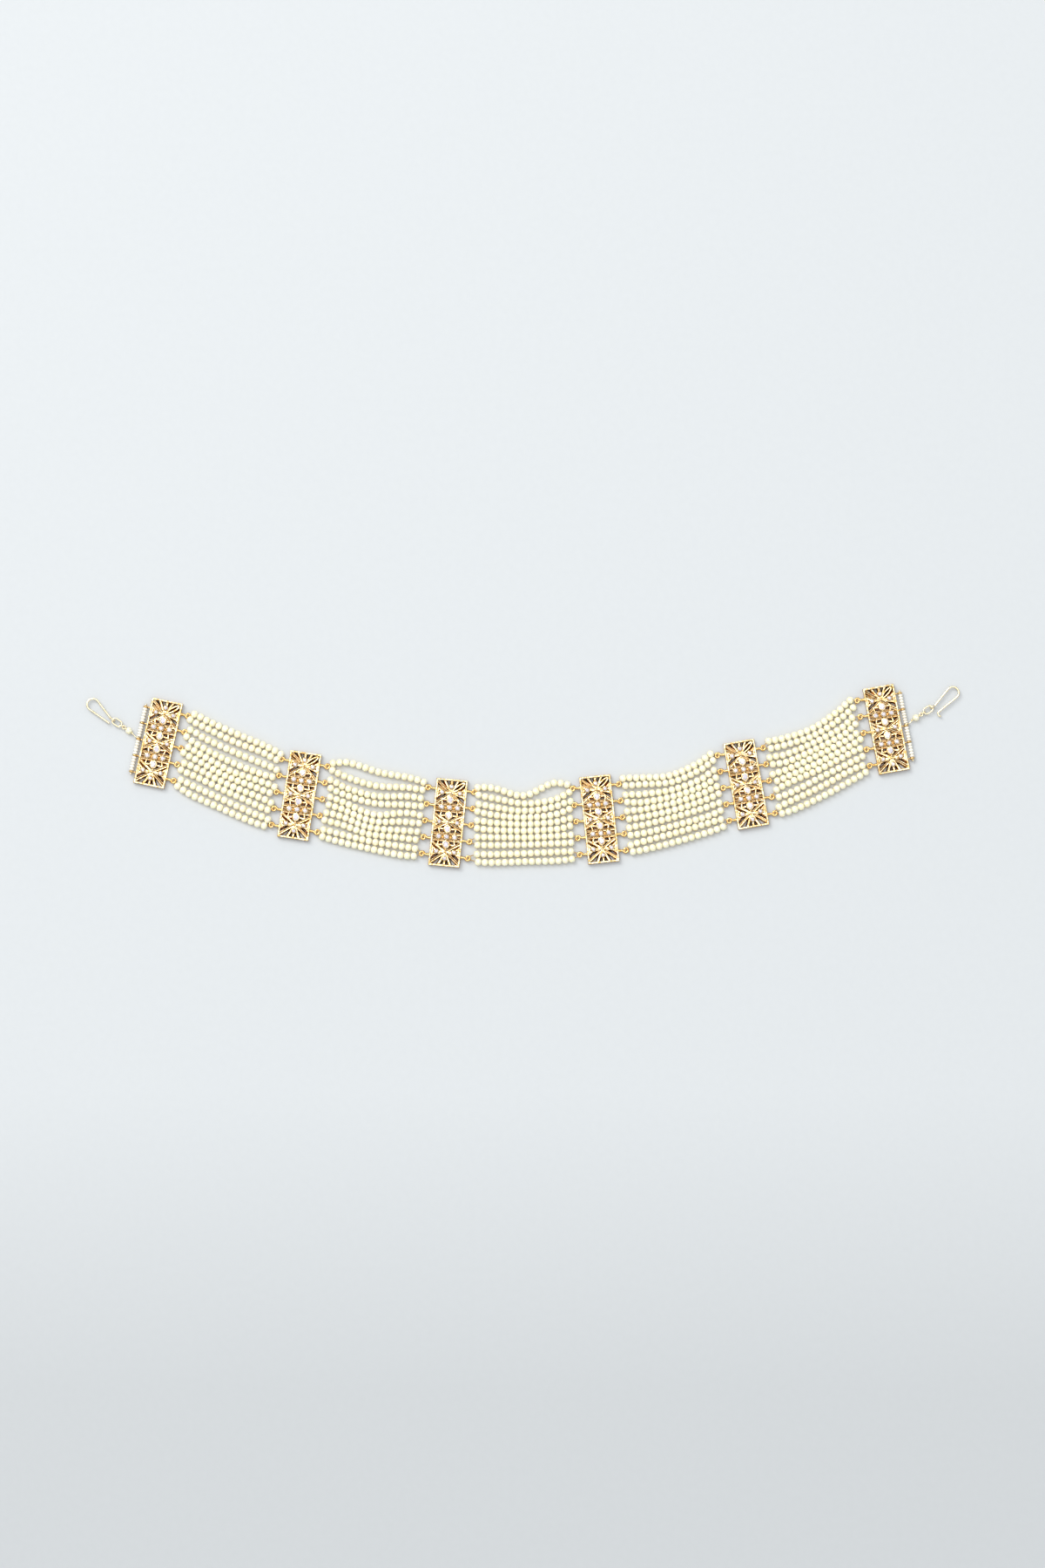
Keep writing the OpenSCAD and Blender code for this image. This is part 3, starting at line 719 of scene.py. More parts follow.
def kite_outline(length: float, width: float) -> Outline:
    """Outline of a kite stone with softened corners."""
    points = np.array([
        (0, length / 2), (-0.4 * width, 0.27 * length), (-width / 2, 0),
        (-0.4 * width, -0.27 * length), (0, -length / 2), (0.4 * width, -0.27 * length),
        (width / 2, 0), (0.4 * width, 0.27 * length),
    ])
    ahead = np.roll(points, -1, 0)
    return np.stack([0.8 * points + 0.2 * ahead, 0.2 * points + 0.8 * ahead], 1).reshape(-1, 2)


def round_outline(diameter: float) -> Outline:
    """Outline of a round stone, counterclockwise from its top."""
    return circle(diameter / 2, 16)[:, ::-1] * (-1, 1)


def widened(outline: Outline, margin: float) -> Outline:
    """Outline with a margin all round, measured square to its edges."""
    ahead, behind = neighbours(outline, True)
    return outline + margin * unit(ahead - behind)[:, ::-1] * (1, -1)


def claws_round(r: float, count: int, first: float) -> tuple[Pair, ...]:
    """Places of claws evenly round a stone, with the first at an angle in radians."""
    turns = [first + k * 2 * math.pi / count for k in range(count)]
    return tuple((r * math.cos(a), r * math.sin(a)) for a in turns)


def section(w: float, h: float, foot: float, shape: Sequence[Pair], top: int = 0) -> np.ndarray:
    """Section of a bar, as sideways place and height.

    Args:
        w: Half its width.
        h: Its height.
        foot: How far its foot stands out.
        shape: The shares of w and h at the points of its right half above the foot.
        top: How many points it has at the middle of its top.

    Returns:
        Its points, from the right foot over the top to the left foot.
    """
    right = [(w + foot, BASE_Z), (w + foot, BASE_Z + 0.45), *((w * x, h * z) for x, z in shape)]
    return np.array(right + [(0, h)] * top + [(-x, z) for x, z in right[::-1]])


def ridge(width: float, height: float) -> np.ndarray:
    """Section of a ridged bar."""
    return section(width / 2, height, 0.35, ((1, 0.72), (0.88, 0.9), (0.62, 0.985)), top=1)


def grooved(width: float, height: float) -> np.ndarray:
    """Section of a bar with a narrow groove along its top."""
    return section(width / 2, height, 0.3,
                   ((1, 0.72), (0.9, 0.92), (0.7, 1), (0.34, 0.97), (0.18, 0.5)))


def painted_groove_shade(depth: float) -> np.ndarray:
    """Tints of a grooved section's points: painted shade, dark in the groove only."""
    return np.array([0.5] * 6 + [depth, depth] + [0.5] * 6)


@dataclass(frozen=True)
class StonePlace:
    """A stone: its place, outline and claws, and the shares of its table and star."""

    at: Pair
    outline: Outline
    claws: tuple[Pair, ...]
    wall: float = 0.4
    top: float = 2.6
    lip: float = 0.12
    table: float = 0.56
    star: float = 0.8


@dataclass
class Plate:
    """One pierced plate with its rim, ridged bars, collets, stones and side rings.

    Names in _x and _y are shares of the half width and half length. The groove shades say how dark
    each plate's grooves are painted, as shade. A ray goes from a node of the pattern to a place on
    the rim, given in shares, with its width and whether it is grooved. The boss and the claw are
    round solids, as height and radius.
    """

    plan: Plan
    finishes: Finishes
    number: int
    rim_h: float = 2.4
    bar_h: float = 1.8
    collet_h: float = 2.6
    sheet_t: float = 0.8
    stone_rise: float = 0.4
    kite_l: float = 3.7
    kite_w: float = 2.9
    flower_d: float = 2.1
    small_d: float = 1.8
    node_y: tuple[float, float, float] = (0.685, 0.012, -0.67)
    kite_out: float = 3.46
    flower_y: Pair = (0.346, -0.324)
    end_y: Pair = (0.822, -0.822)
    petal_x: float = 0.51
    side_x: float = 0.57
    eyelet_r: float = 0.85
    pit_at: float = 0.99
    rim_step: float = 2.2
    rim_wear: float = 0.035
    groove_shades: tuple[float, ...] = (1.0, 0.86, 1.0, 0.72, 0.7, 0.97)
    boss: tuple[Pair, ...] = ((0.3, 0.62), (1.9, 0.62), (2.2, 0.55), (2.35, 0.38), (2.4, 0.16))
    claw: tuple[Pair, ...] = (
        (-0.5, 0.243), (0, 0.27), (0.1, 0.2565), (0.2, 0.2025), (0.27, 0.0945))
    rays: tuple[tuple[int, float, float, float, bool], ...] = (
        (0, -0.96, 0.97, 1.4, True), (0, -0.52, 1, 1.0, False), (0, -1, 0.85, 1.2, True),
        (0, -1, 0.44, 1.45, True), (0, 1, 0.40, 1.6, True), (0, 1, 0.60, 0.9, False),
        (0, 0.45, 1, 1.0, False), (0, 0, 1, 1.2, False),
        (1, -1, 0.20, 1.3, False), (1, 1, 0.20, 1.35, True), (1, -1, -0.17, 1.5, True),
        (1, 1, -0.17, 1.4, True),
        (2, -1, -0.46, 1.3, False), (2, 1, -0.46, 1.45, True), (2, -1, -0.95, 1.45, True),
        (2, 1, -0.95, 1.5, True), (2, -0.42, -1, 1.15, False), (2, 0.42, -1, 1.15, False),
        (2, 0, -1, 1.0, False), (2, -1, -0.76, 0.95, False), (2, 1, -0.76, 0.95, False),
    )

    @property
    def half(self) -> float:
        """Half the plate's width."""
        return self.plan.plate_w / 2

    @property
    def inner(self) -> float:
        """Distance from the middle of the plate to the middle of its long rims."""
        return (self.plan.plate_w - self.plan.rim_w) / 2

    @property
    def reach(self) -> float:
        """Distance from the middle of a flower to its cross bars."""
        return self.flower_d / 2 + 0.4

    def up(self, share: float) -> float:
        """Place along the plate from its share of the half length."""
        return share * self.plan.plate_l / 2

    def on_rim(self, u: float, v: float) -> np.ndarray:
        """Point of the rim's middle line from its shares."""
        return np.array([u * self.inner, v * (self.plan.plate_l - self.plan.rim_w) / 2])

    def node(self, k: int) -> np.ndarray:
        """Point where the rays of the pattern meet."""
        return np.array([0, self.up(self.node_y[k])])

    def stone_places(self) -> list[StonePlace]:
        """List the plate's eighteen stones.

        Returns:
            Their places, with the eight of the CAD part first.
        """
        kite, w, h = kite_outline(self.kite_l, self.kite_w), self.kite_w / 2, self.kite_l / 2
        tips = ((0, h + 0.12), (0, -h - 0.12), (-w - 0.1, 0), (w + 0.1, 0))
        petal, small = round_outline(self.flower_d), round_outline(self.small_d)
        four = claws_round(self.flower_d / 2 + 0.08, 4, math.pi / 4)
        three = claws_round(self.small_d / 2 + 0.1, 3, math.pi / 2)
        flowers = [self.up(share) for share in self.flower_y]
        places = [StonePlace((0, y + t * self.kite_out), kite, tips, lip=0.3)
                  for y in flowers for t in (1, -1)]
        places += [StonePlace((t * self.petal_x * self.half, y), petal, four)
                   for y in flowers for t in (-1, 1)]
        places += [StonePlace((0, y), petal, four) for y in flowers]
        small_at = [(t * self.side_x, share) for share in self.node_y for t in (-1, 1)]
        small_at += [(0, share) for share in self.end_y]
        return places + [StonePlace((x * self.half, self.up(share)), small, three, wall=0.35)
                         for x, share in small_at]

    def rim(self, work: Work, dice: random.Random) -> None:
        """Add the rim: a rounded wall round the plate, a little uneven as a cast piece is."""
        h, w = self.rim_h, self.plan.rim_w
        profile = np.array([
            (0.03, 0.0), (0.0, 0.08), (0.0, h - 0.3), (0.04, h - 0.13), (0.13, h - 0.03),
            (0.3, h), (0.62, h - 0.02), (0.78, h - 0.1), (0.87, h - 0.3), (w, h - 0.7), (w, 0.0),
        ])
        corners = np.array([(1, 1), (-1, 1), (-1, -1), (1, -1)]) * (self.half, self.up(1))
        path = []
        for a, b in zip(corners, np.roll(corners, -1, 0)):
            steps = round(float(np.linalg.norm(b - a)) / self.rim_step)
            path += [a + (b - a) * k / steps for k in range(steps)]
        lifts = [-abs(dice.gauss(0, self.rim_wear)) for _ in path]
        work.bar(path, profile, closed=True, lifts=lifts)

    def bars(self, work: Work, dice: random.Random) -> None:
        """Add the rays, the bars beside the flowers and side stones, and the spine."""
        share = np.linspace(0, 1, 5)
        for k, u, v, width, has_groove in self.rays:
            a, b = self.node(k), self.on_rim(u, v)
            bend = left_of(b - a) * dice.uniform(-0.012, 0.012)
            path = a + np.outer(share, b - a) + np.outer(np.sin(share * math.pi), bend)
            lifts = [0.1, -0.05, -0.1 + dice.uniform(-0.06, 0.06), 0.05, 0.3]
            # Painted shade: how dark this bar's groove is painted.
            depth = dice.choice((1.0, 0.9, 0.8)) * self.groove_shades[self.number]
            work.bar(path, (grooved if has_groove else ridge)(width, self.bar_h + 0.1),
                     widths=[1.0, 0.95, 0.9, 1.0, 1.15], lifts=lifts,
                     tint=painted_groove_shade(depth) if has_groove else 0.5)
        beside = self.petal_x * self.half + self.reach - 0.1
        for y in map(self.up, self.flower_y):
            for edge in (-self.reach, self.reach):
                work.bar([(x, y + edge) for x in np.linspace(-self.inner, self.inner, 7)],
                         grooved(1.35, self.bar_h + 0.1), tint=painted_groove_shade(0.85),
                         lifts=[0.25, 0, -0.05, 0.1, -0.05, 0, 0.25])
            for side in (-1, 1):
                work.bar([(side * x, y) for x in np.linspace(beside, self.inner, 3)],
                         grooved(0.95, self.bar_h), tint=painted_groove_shade(0.9))
        halves, edge = (-1, -0.5, 0, 0.5, 1), self.inner - 0.75
        for y in map(self.up, self.node_y):
            work.bar([(t * self.side_x * self.half, y) for t in halves],
                     ridge(1.1, self.bar_h + 0.25))
            for side in (-1, 1):
                work.bar([(side * (edge + 0.25 * abs(t)), y + 2.3 * t) for t in halves],
                         ridge(0.9, self.bar_h + 0.2))
        work.bar([(0, y) for y in np.linspace(self.node(2)[1], self.node(0)[1], 9)],
                 ridge(1.1, self.bar_h))

    def webs(self, work: Work) -> None:
        """Add the low webs that fill the narrow angles between the rays of each node, in painted
        shade.
        """
        turn = np.arange(24) * math.pi / 12
        star = circle(1, 24) * (1, 0.8) * (2.5 + 0.35 * np.cos(4 * turn))[:, None]
        for y in map(self.up, self.node_y):
            work.rings([level(share * star + (0, y), z)
                        for z, share in ((0.2, 1.0), (0.8, 1.0), (1.0, 0.92), (1.12, 0.6))])

    def leaf_loop(self, work: Work) -> None:
        """Add the long open loop between the top node and the right corner."""
        a, b = self.node(0) + np.array([0.9, 0.8]), self.on_rim(0.86, 0.95)
        mid, half = (a + b) / 2, (b - a) / 2
        path = mid + circle(1, 20) @ np.array([half, 0.78 * left_of(unit(half))])
        work.bar(path[::-1], ridge(0.8, self.bar_h + 0.3), closed=True)

    def struts(self, work: Work) -> None:
        """Add the short bars from the stones to the rim, which close the pattern's triangles."""
        x, edge = self.side_x * self.half, self.inner
        lines = []
        for y in map(self.up, self.node_y):
            lines += [((x + 0.5, y + 0.7 * t), (edge, y + 2.5 * t), 0.85) for t in (-1, 1)]
            lines.append(((x, y), (edge, y), 0.9))
        for y in map(self.up, self.flower_y):
            for t in (-1, 1):
                kite = y + t * self.kite_out
                lines.append(((1.5, kite), (3.6, kite + 0.25 * t), 0.9))
                lines.append(((3.3, y + 1.4 * t), (3.9, kite + 0.3 * t), 0.8))
        for a, b, width in lines:
            for side in (-1, 1):
                work.bar(np.linspace(a, b, 3) * (side, 1), ridge(width, self.bar_h - 0.15),
                         lifts=[0.1, 0, 0.15])

    def sheets(self, work: Work) -> None:
        """Add the low sheet under each flower, softly hammered."""
        for y in map(self.up, self.flower_y):
            low, high, sections = y - self.reach, y + self.reach, []
            for x in np.linspace(-self.inner, self.inner, 15):
                top = self.sheet_t - 0.08 * abs(math.sin(2.3 * x))
                sections.append(np.array([(x, low, 0.1), (x, high, 0.1), (x, high, top),
                                          (x, y, top + 0.06), (x, low, top)]))
            work.rings(sections)

    def collet(self, work: Work, stone: StonePlace) -> None:
        """Add a stone's collet: a cup with a thin bright lip, and its claws."""
        wall, top, lip = stone.wall, stone.top, stone.lip
        levels = (
            (wall - 0.02, 0.15), (wall, top - 0.9), (wall + 0.02, top - 0.25),
            (wall - 0.05, top - 0.02), (wall - 0.18, top + 0.1), (0.0, top + 0.16),
            (0.06 - lip, top + 0.18), (-lip, top + 0.1), (-lip - 0.02, top - 0.3),
            (-lip - 0.1, top - 1.0),
        )
        work.rings([level(widened(stone.outline, margin) + stone.at, z) for margin, z in levels])
        for x, y in stone.claws:
            work.stack((stone.at[0] + x, stone.at[1] + y, top + 0.1), self.claw, 8)

    def shade_pits(self, work: Work) -> None:
        """Add four small posts round each flower's middle, painted near-black as shaded hollows."""
        top = self.collet_h + 0.15
        for y in map(self.up, self.flower_y):
            for a in (-1, 1):
                for b in (-1, 1):
                    work.stack((self.pit_at * a, y + self.pit_at * b, 0),
                               ((0.4, 0.24), (top - 0.02, 0.24), (top, 0.2)), 8, tint=1.0)

    def side_ring(self, work: Work, side: int, row: int) -> None:
        """Add a ring for two strings: a wire from the rim, curled round into an eye."""
        reach, r = self.plan.ring_reach, self.plan.ring_r
        degrees = np.linspace(180, 180 + 415, 30)
        turn, shrink = np.radians(degrees), np.interp(degrees, (180, 400, 595), (1.06, 1.04, 0.42))
        eye = np.column_stack([reach + r * shrink * np.cos(turn), r * shrink * np.sin(turn),
                               np.linspace(0, 0.30, 30)])
        radii = [0.75, 0.7, 0.62, 0.56, *np.linspace(0.54, 0.36, 29)]
        self.fitting(work, (-0.5, 0.2, 0.9, 1.6), eye, radii, side, row)

    def eyelet(self, work: Work, side: int, row: int) -> None:
        """Add an upright eyelet that holds the pin of the bead bar."""
        turn = np.radians(np.linspace(180, 180 + 352, 24))
        eye = upright(self.eyelet_r * np.column_stack([np.cos(turn), np.sin(turn)]), 0)
        radii = [0.36, 0.33, 0.3, *(0.37 - 0.1 * np.cos(turn[1:]))]
        self.fitting(work, (-0.5, 0.3, 0.8), eye + (self.plan.pin_reach, 0, 0), radii, side, row)

    def fitting(self, work: Work, lead: Sequence[float], eye: np.ndarray, radii: Sequence[float],
                side: int, row: int) -> None:
        """Add a fitting's wire at its row, turned to its side of the plate.

        Args:
            work: The mesh to add to.
            lead: Distances from the plate's edge of the points before the eye.
            eye: The eye's points from the edge; the first one gives way to the lead.
            radii: The wire's radius at each point.
            side: The side of the plate, -1 or 1.
            row: The fitting's row.
        """
        path = np.vstack([[(x, 0, 0) for x in lead], eye[1:]]) + (self.half, 0, 0)
        place = path * (side, side, 1) + (0, self.plan.ring_y(row), self.plan.string_z)
        work.tube(place, radii, 10, finish=1)

    def cut_stone(self, work: Work, stone: StonePlace, dice: random.Random) -> None:
        """Add a cut stone: table, star and kite facets, girdle and pavilion, each with its light.

        Args:
            work: The mesh to add to.
            stone: Its place and outline.
            dice: The source of the facets' tints.
        """
        outline = stone.outline + stone.at
        n = len(outline) // 2
        middle, half = outline.mean(0), outline[1::2]
        girdle_z, top = stone.top - 0.15, stone.top + self.stone_rise

        def drawn_in(points: np.ndarray, share: float, z: float) -> np.ndarray:
            """Points at a share of their distance from the stone's place, at a height."""
            return level(stone.at + share * (points - stone.at), z)

        culet = np.array([*middle, stone.top - 1.0])
        low, girdle = drawn_in(outline, 0.98, girdle_z - 0.12), level(outline, girdle_z)
        star = drawn_in(half, stone.star, girdle_z + 0.6 * (top - girdle_z))
        table = drawn_in(outline[0::2], stone.table, top)

        def facet(points: Sequence[np.ndarray], tint: float) -> None:
            """Add one flat facet."""
            work.add(np.array(points), [tuple(range(len(points)))], 2, False, tint)

        # Each facet's random tint paints the light it reflects, bright or dark.
        facet(table, dice.choice((0.75, 0.5, 0.35, 0.6, 0.45)))
        for k in range(n):
            ahead = girdle[(2 * k + 2) % (2 * n)]
            facet([table[(k + 1) % n], table[k], star[k]], 0.35 + 0.65 * dice.random())
            facet([star[k], table[k], star[k - 1], girdle[2 * k]],
                  dice.choice((0.15, 0.4, 0.75, 1.0, 0.9)))
            facet([star[k], girdle[2 * k], girdle[2 * k + 1]], 0.3 + 0.7 * dice.random())
            facet([star[k], girdle[2 * k + 1], ahead], 0.3 + 0.7 * dice.random())
        for k in range(2 * n):
            after = (k + 1) % (2 * n)
            facet([girdle[after], girdle[k], low[k], low[after]], 0.5)
            facet([low[after], low[k], culet], 0.4 * dice.random())

    def build(self) -> Piece:
        """Build the plate with its stones.

        Returns:
            The piece, which stands for the plate and its stones.
        """
        dice, work = random.Random(PLATE_SEED + self.number), Work()
        self.rim(work, dice)
        self.bars(work, dice)
        for add in (self.leaf_loop, self.struts, self.sheets, self.webs, self.shade_pits):
            add(work)
        for y in map(self.up, self.node_y):
            work.stack((0, y, 0), self.boss, 16)
        for stone in self.stone_places():
            self.collet(work, stone)
            self.cut_stone(work, stone, dice)
        for row in range(self.plan.ring_count):
            for side in (-1, 1):
                outer = Side(side).plate == self.number
                (self.eyelet if outer else self.side_ring)(work, side, row)
        work.moved(self.plan.plate_turns[self.number], self.plan.plate_centre(self.number))
        f, k = self.finishes, self.number + 1
        return work.make(f"dressed_plate_{k}", [f.gold, f.wire, f.crystal], Slot.GOLD,
                         [f"plate_{k}", f"stones_{k}"])


# ---- pearls


@dataclass(frozen=True)
class PearlShape:
    """A drilled pearl of unit radius about its bore, which runs along x."""

    sides: int = 20
    bore: float = 0.24
    square: float = 2.15
    mouth: float = 0.975
    inside: float = 0.72

    def sections(self) -> tuple[np.ndarray, np.ndarray]:
        """Give the profile of the pearl.

        Returns:
            Places along the bore and radii about it, and the tint of each: 1 in and at the bore,
            where the pearl finish paints shade.
        """
        first = math.asin(self.bore)
        turn = np.linspace(first + 0.06, math.pi - first - 0.06, 11)
        x, r = np.cos(turn), np.sin(turn)
        full = (np.abs(x) ** self.square + r ** self.square) ** (-1 / self.square)
        start = [(-self.inside, self.bore * 0.9), (-self.mouth, self.bore)]
        end = [(-x, r) for x, r in start[::-1]]
        profile = np.vstack([start, np.column_stack([-x * full, r * full]), end])
        # Painted shade: the points in and at the bore get tint 1.
        tint = np.zeros(len(profile))
        tint[:2] = tint[-2:] = 1.0
        return profile, tint

    def add(self, work: Work, at: np.ndarray, way: np.ndarray, radius: float, tone: float,
            length: float = 1.0, height: float = 1.0, broad: float = 1.0) -> None:
        """Add one pearl.

        Args:
            work: The mesh to add to.
            at: Its middle.
            way: The direction of its bore.
            radius: Its radius.
            tone: A tint of its own, added to all of it.
            length: Its length along the bore as a share of its girth.
            height: Its height as a share of its girth.
            broad: Its width across the bore as a share of its girth.
        """
        profile, tint = self.sections()
        way = unit(way)
        side = unit(np.cross((0, 0, 1), way))
        loop = circle(1, self.sides) @ np.array([broad * side, height * np.cross(way, side)])
        sections = [at + radius * (x * length * way + r * loop) for x, r in profile]
        work.rings(sections, closed=True, tint=np.clip(0.55 * tint + tone, 0, 1))


@dataclass
class PearlStrings:
    """The ten strings of one gap: fifteen pearls on each, and the threads through them."""

    plan: Plan
    finishes: Finishes
    gap: int
    pearl_d: float = 3.0
    pitch: float = 2.96
    top_r: float = 1.47
    broad: float = 1.08
    beside_gap: float = 0.02
    slide: float = 0.5
    rounds: int = 60
    cut_allowed: float = 0.004
    push: tuple[float, float, float] = (0.3, 0.3, 0.15)
    thread_r: float = 0.15
    knot_r: tuple[float, float, float] = (0.27, 0.25, 0.22)
    shape: PearlShape = field(default_factory=PearlShape)

    def spaced(self, route: Route, shift: float) -> np.ndarray:
        """Place a string's pearls by the length of its line.

        Args:
            route: The string's line.
            shift: How far the pearls have slid along their thread.

        Returns:
            The middles of the pearls, one to a row.
        """
        d = np.linspace(0.8, route.chord - 0.8, 300)
        line = np.array([route.at(x) for x in d])
        run = np.concatenate([[0], np.cumsum(np.linalg.norm(np.diff(line, axis=0), axis=1))])
        number = np.arange(self.plan.pearl_count) - (self.plan.pearl_count - 1) / 2
        marks = run[-1] / 2 + shift + number * self.pitch
        return np.column_stack([np.interp(marks, run, line[:, k]) for k in range(3)])

    def eased(self, places: np.ndarray, radii: np.ndarray) -> np.ndarray:
        """Ease pearls of neighbouring strings apart where they would cut into each other.

        Args:
            places: The pearls' middles.
            radii: Their radii.

        Returns:
            The eased middles.
        """
        row = np.arange(len(radii)) // self.plan.pearl_count
        same = row[:, None] == row[None, :]
        need = radii[:, None] + radii[None, :] + np.where(same, 0.0, self.beside_gap)
        for _ in range(self.rounds):
            gaps = places[:, None, :] - places[None, :, :]
            apart = np.linalg.norm(gaps, axis=2)
            np.fill_diagonal(apart, np.inf)
            over = np.clip(need - apart, 0, None)
            if over.max() < self.cut_allowed:
                break
            push = gaps * (over / apart)[:, :, None] * self.push
            places = places + push.sum(1)
        return places

    def thread_line(self, route: Route, middles: np.ndarray) -> np.ndarray:
        """Give the way of a thread from its left ring through its pearls to its right ring."""
        hop, reach = route.crossing.value, self.plan.ring_r
        starts, ends = [], []
        for spread, lift in ((0.05, 0.0), (0.8, 0.5), (1.35, 0.35)):
            d, side = spread * reach * 0.7, hop * min(1, spread) * reach * 0.75
            z = self.plan.string_z + hop * lift
            starts.append(route.beside(d, side, z))
            ends.insert(0, route.beside(route.chord - d, side, z))
        return np.vstack([starts, middles, ends])

    def build(self) -> list[Piece]:
        """Build the gap's pearls and threads.

        Returns:
            The pieces.
        """
        dice = random.Random(STRING_SEED + self.gap)
        routes = [Route(self.plan, self.gap, s) for s in range(STRINGS)]
        rows = [self.spaced(r, dice.uniform(-self.slide, self.slide)) for r in routes]
        n = self.plan.pearl_count
        radii = np.array([self.pearl_d / 2 * dice.uniform(0.985, 1.0) for _ in range(STRINGS * n)])
        places = self.eased(np.vstack(rows), radii)
        tall = np.minimum(radii, self.top_r)
        places[:, 2] = np.clip(places[:, 2], tall + 0.01, TOP_Z - tall)
        pearls, threads = Work(), Work()
        wire = [*self.knot_r, *([self.thread_r] * n), *self.knot_r[::-1]]
        for s, route in enumerate(routes):
            line = self.thread_line(route, places[s * n:(s + 1) * n])
            threads.tube(line, wire, 8)
            for k, i in enumerate(range(s * n, (s + 1) * n), start=len(self.knot_r)):
                self.shape.add(pearls, places[i], line[k + 1] - line[k - 1], radii[i],
                               dice.uniform(0.0, 0.22),
                               length=dice.uniform(0.985, 1.0), height=tall[i] / radii[i],
                               broad=self.broad)
        f, g = self.finishes, self.gap + 1
        return [
            pearls.make(f"pearl_strings_{g}", [f.pearl], Slot.PEARL,
                        [f"pearls_{g}", *(f"strings_{g}{row}" for row in "abcd")], ROUND_CREASE),
            threads.make(f"string_threads_{g}", [f.thread], Slot.THREAD, [f"thread_{g}"]),
        ]


# ---- ends


@dataclass
class BeadBar:
    """The bar of white seed beads beside an end plate, on its pin between the eyelets."""

    plan: Plan
    finishes: Finishes
    side: Side
    bead_d: float = 2.1
    beads_each: int = 5
    eyelet_wire: float = 0.6
    clear: float = 0.08
    fine_wire: float = 0.5

    def build(self) -> Piece:
        """Build the beads.

        Returns:
            The piece.
        """
        plan, work, plate = self.plan, Work(), self.side.plate
        dice = random.Random(BEAD_SEED + self.side.value)
        x = self.side.value * (plan.plate_w / 2 + plan.pin_reach)
        shape = PearlShape(sides=16, bore=0.4)
        way = np.array([*turned((0, 1), plan.plate_turns[plate]), 0])
        near = self.eyelet_wire / 2 + self.clear
        eye_room = plan.eye_off + self.fine_wire / 2 + self.clear
        for k in range(plan.ring_count - 1):
            low = -plan.ring_y(k) + near
            high = -plan.ring_y(k + 1) - (eye_room if abs(plan.ring_y(k + 1)) < 1 else near)
            length = (high - low) / self.beads_each
            for b in range(self.beads_each):
                y = -(low + (b + 0.5) * length)
                at = np.array([*plan.on_plate(plate, (x, y)), plan.string_z])
                r = self.bead_d / 2 * dice.uniform(0.96, 1.0)
                shape.add(work, at, way, r, dice.uniform(0, 0.3), length=length / 2 / r * 1.04)
        return work.make(f"seed_beads_{self.side.word}", [self.finishes.seed], Slot.SEED_BEAD,
                         [f"bead_bar_{self.side.word}"], crease=ROUND_CREASE)


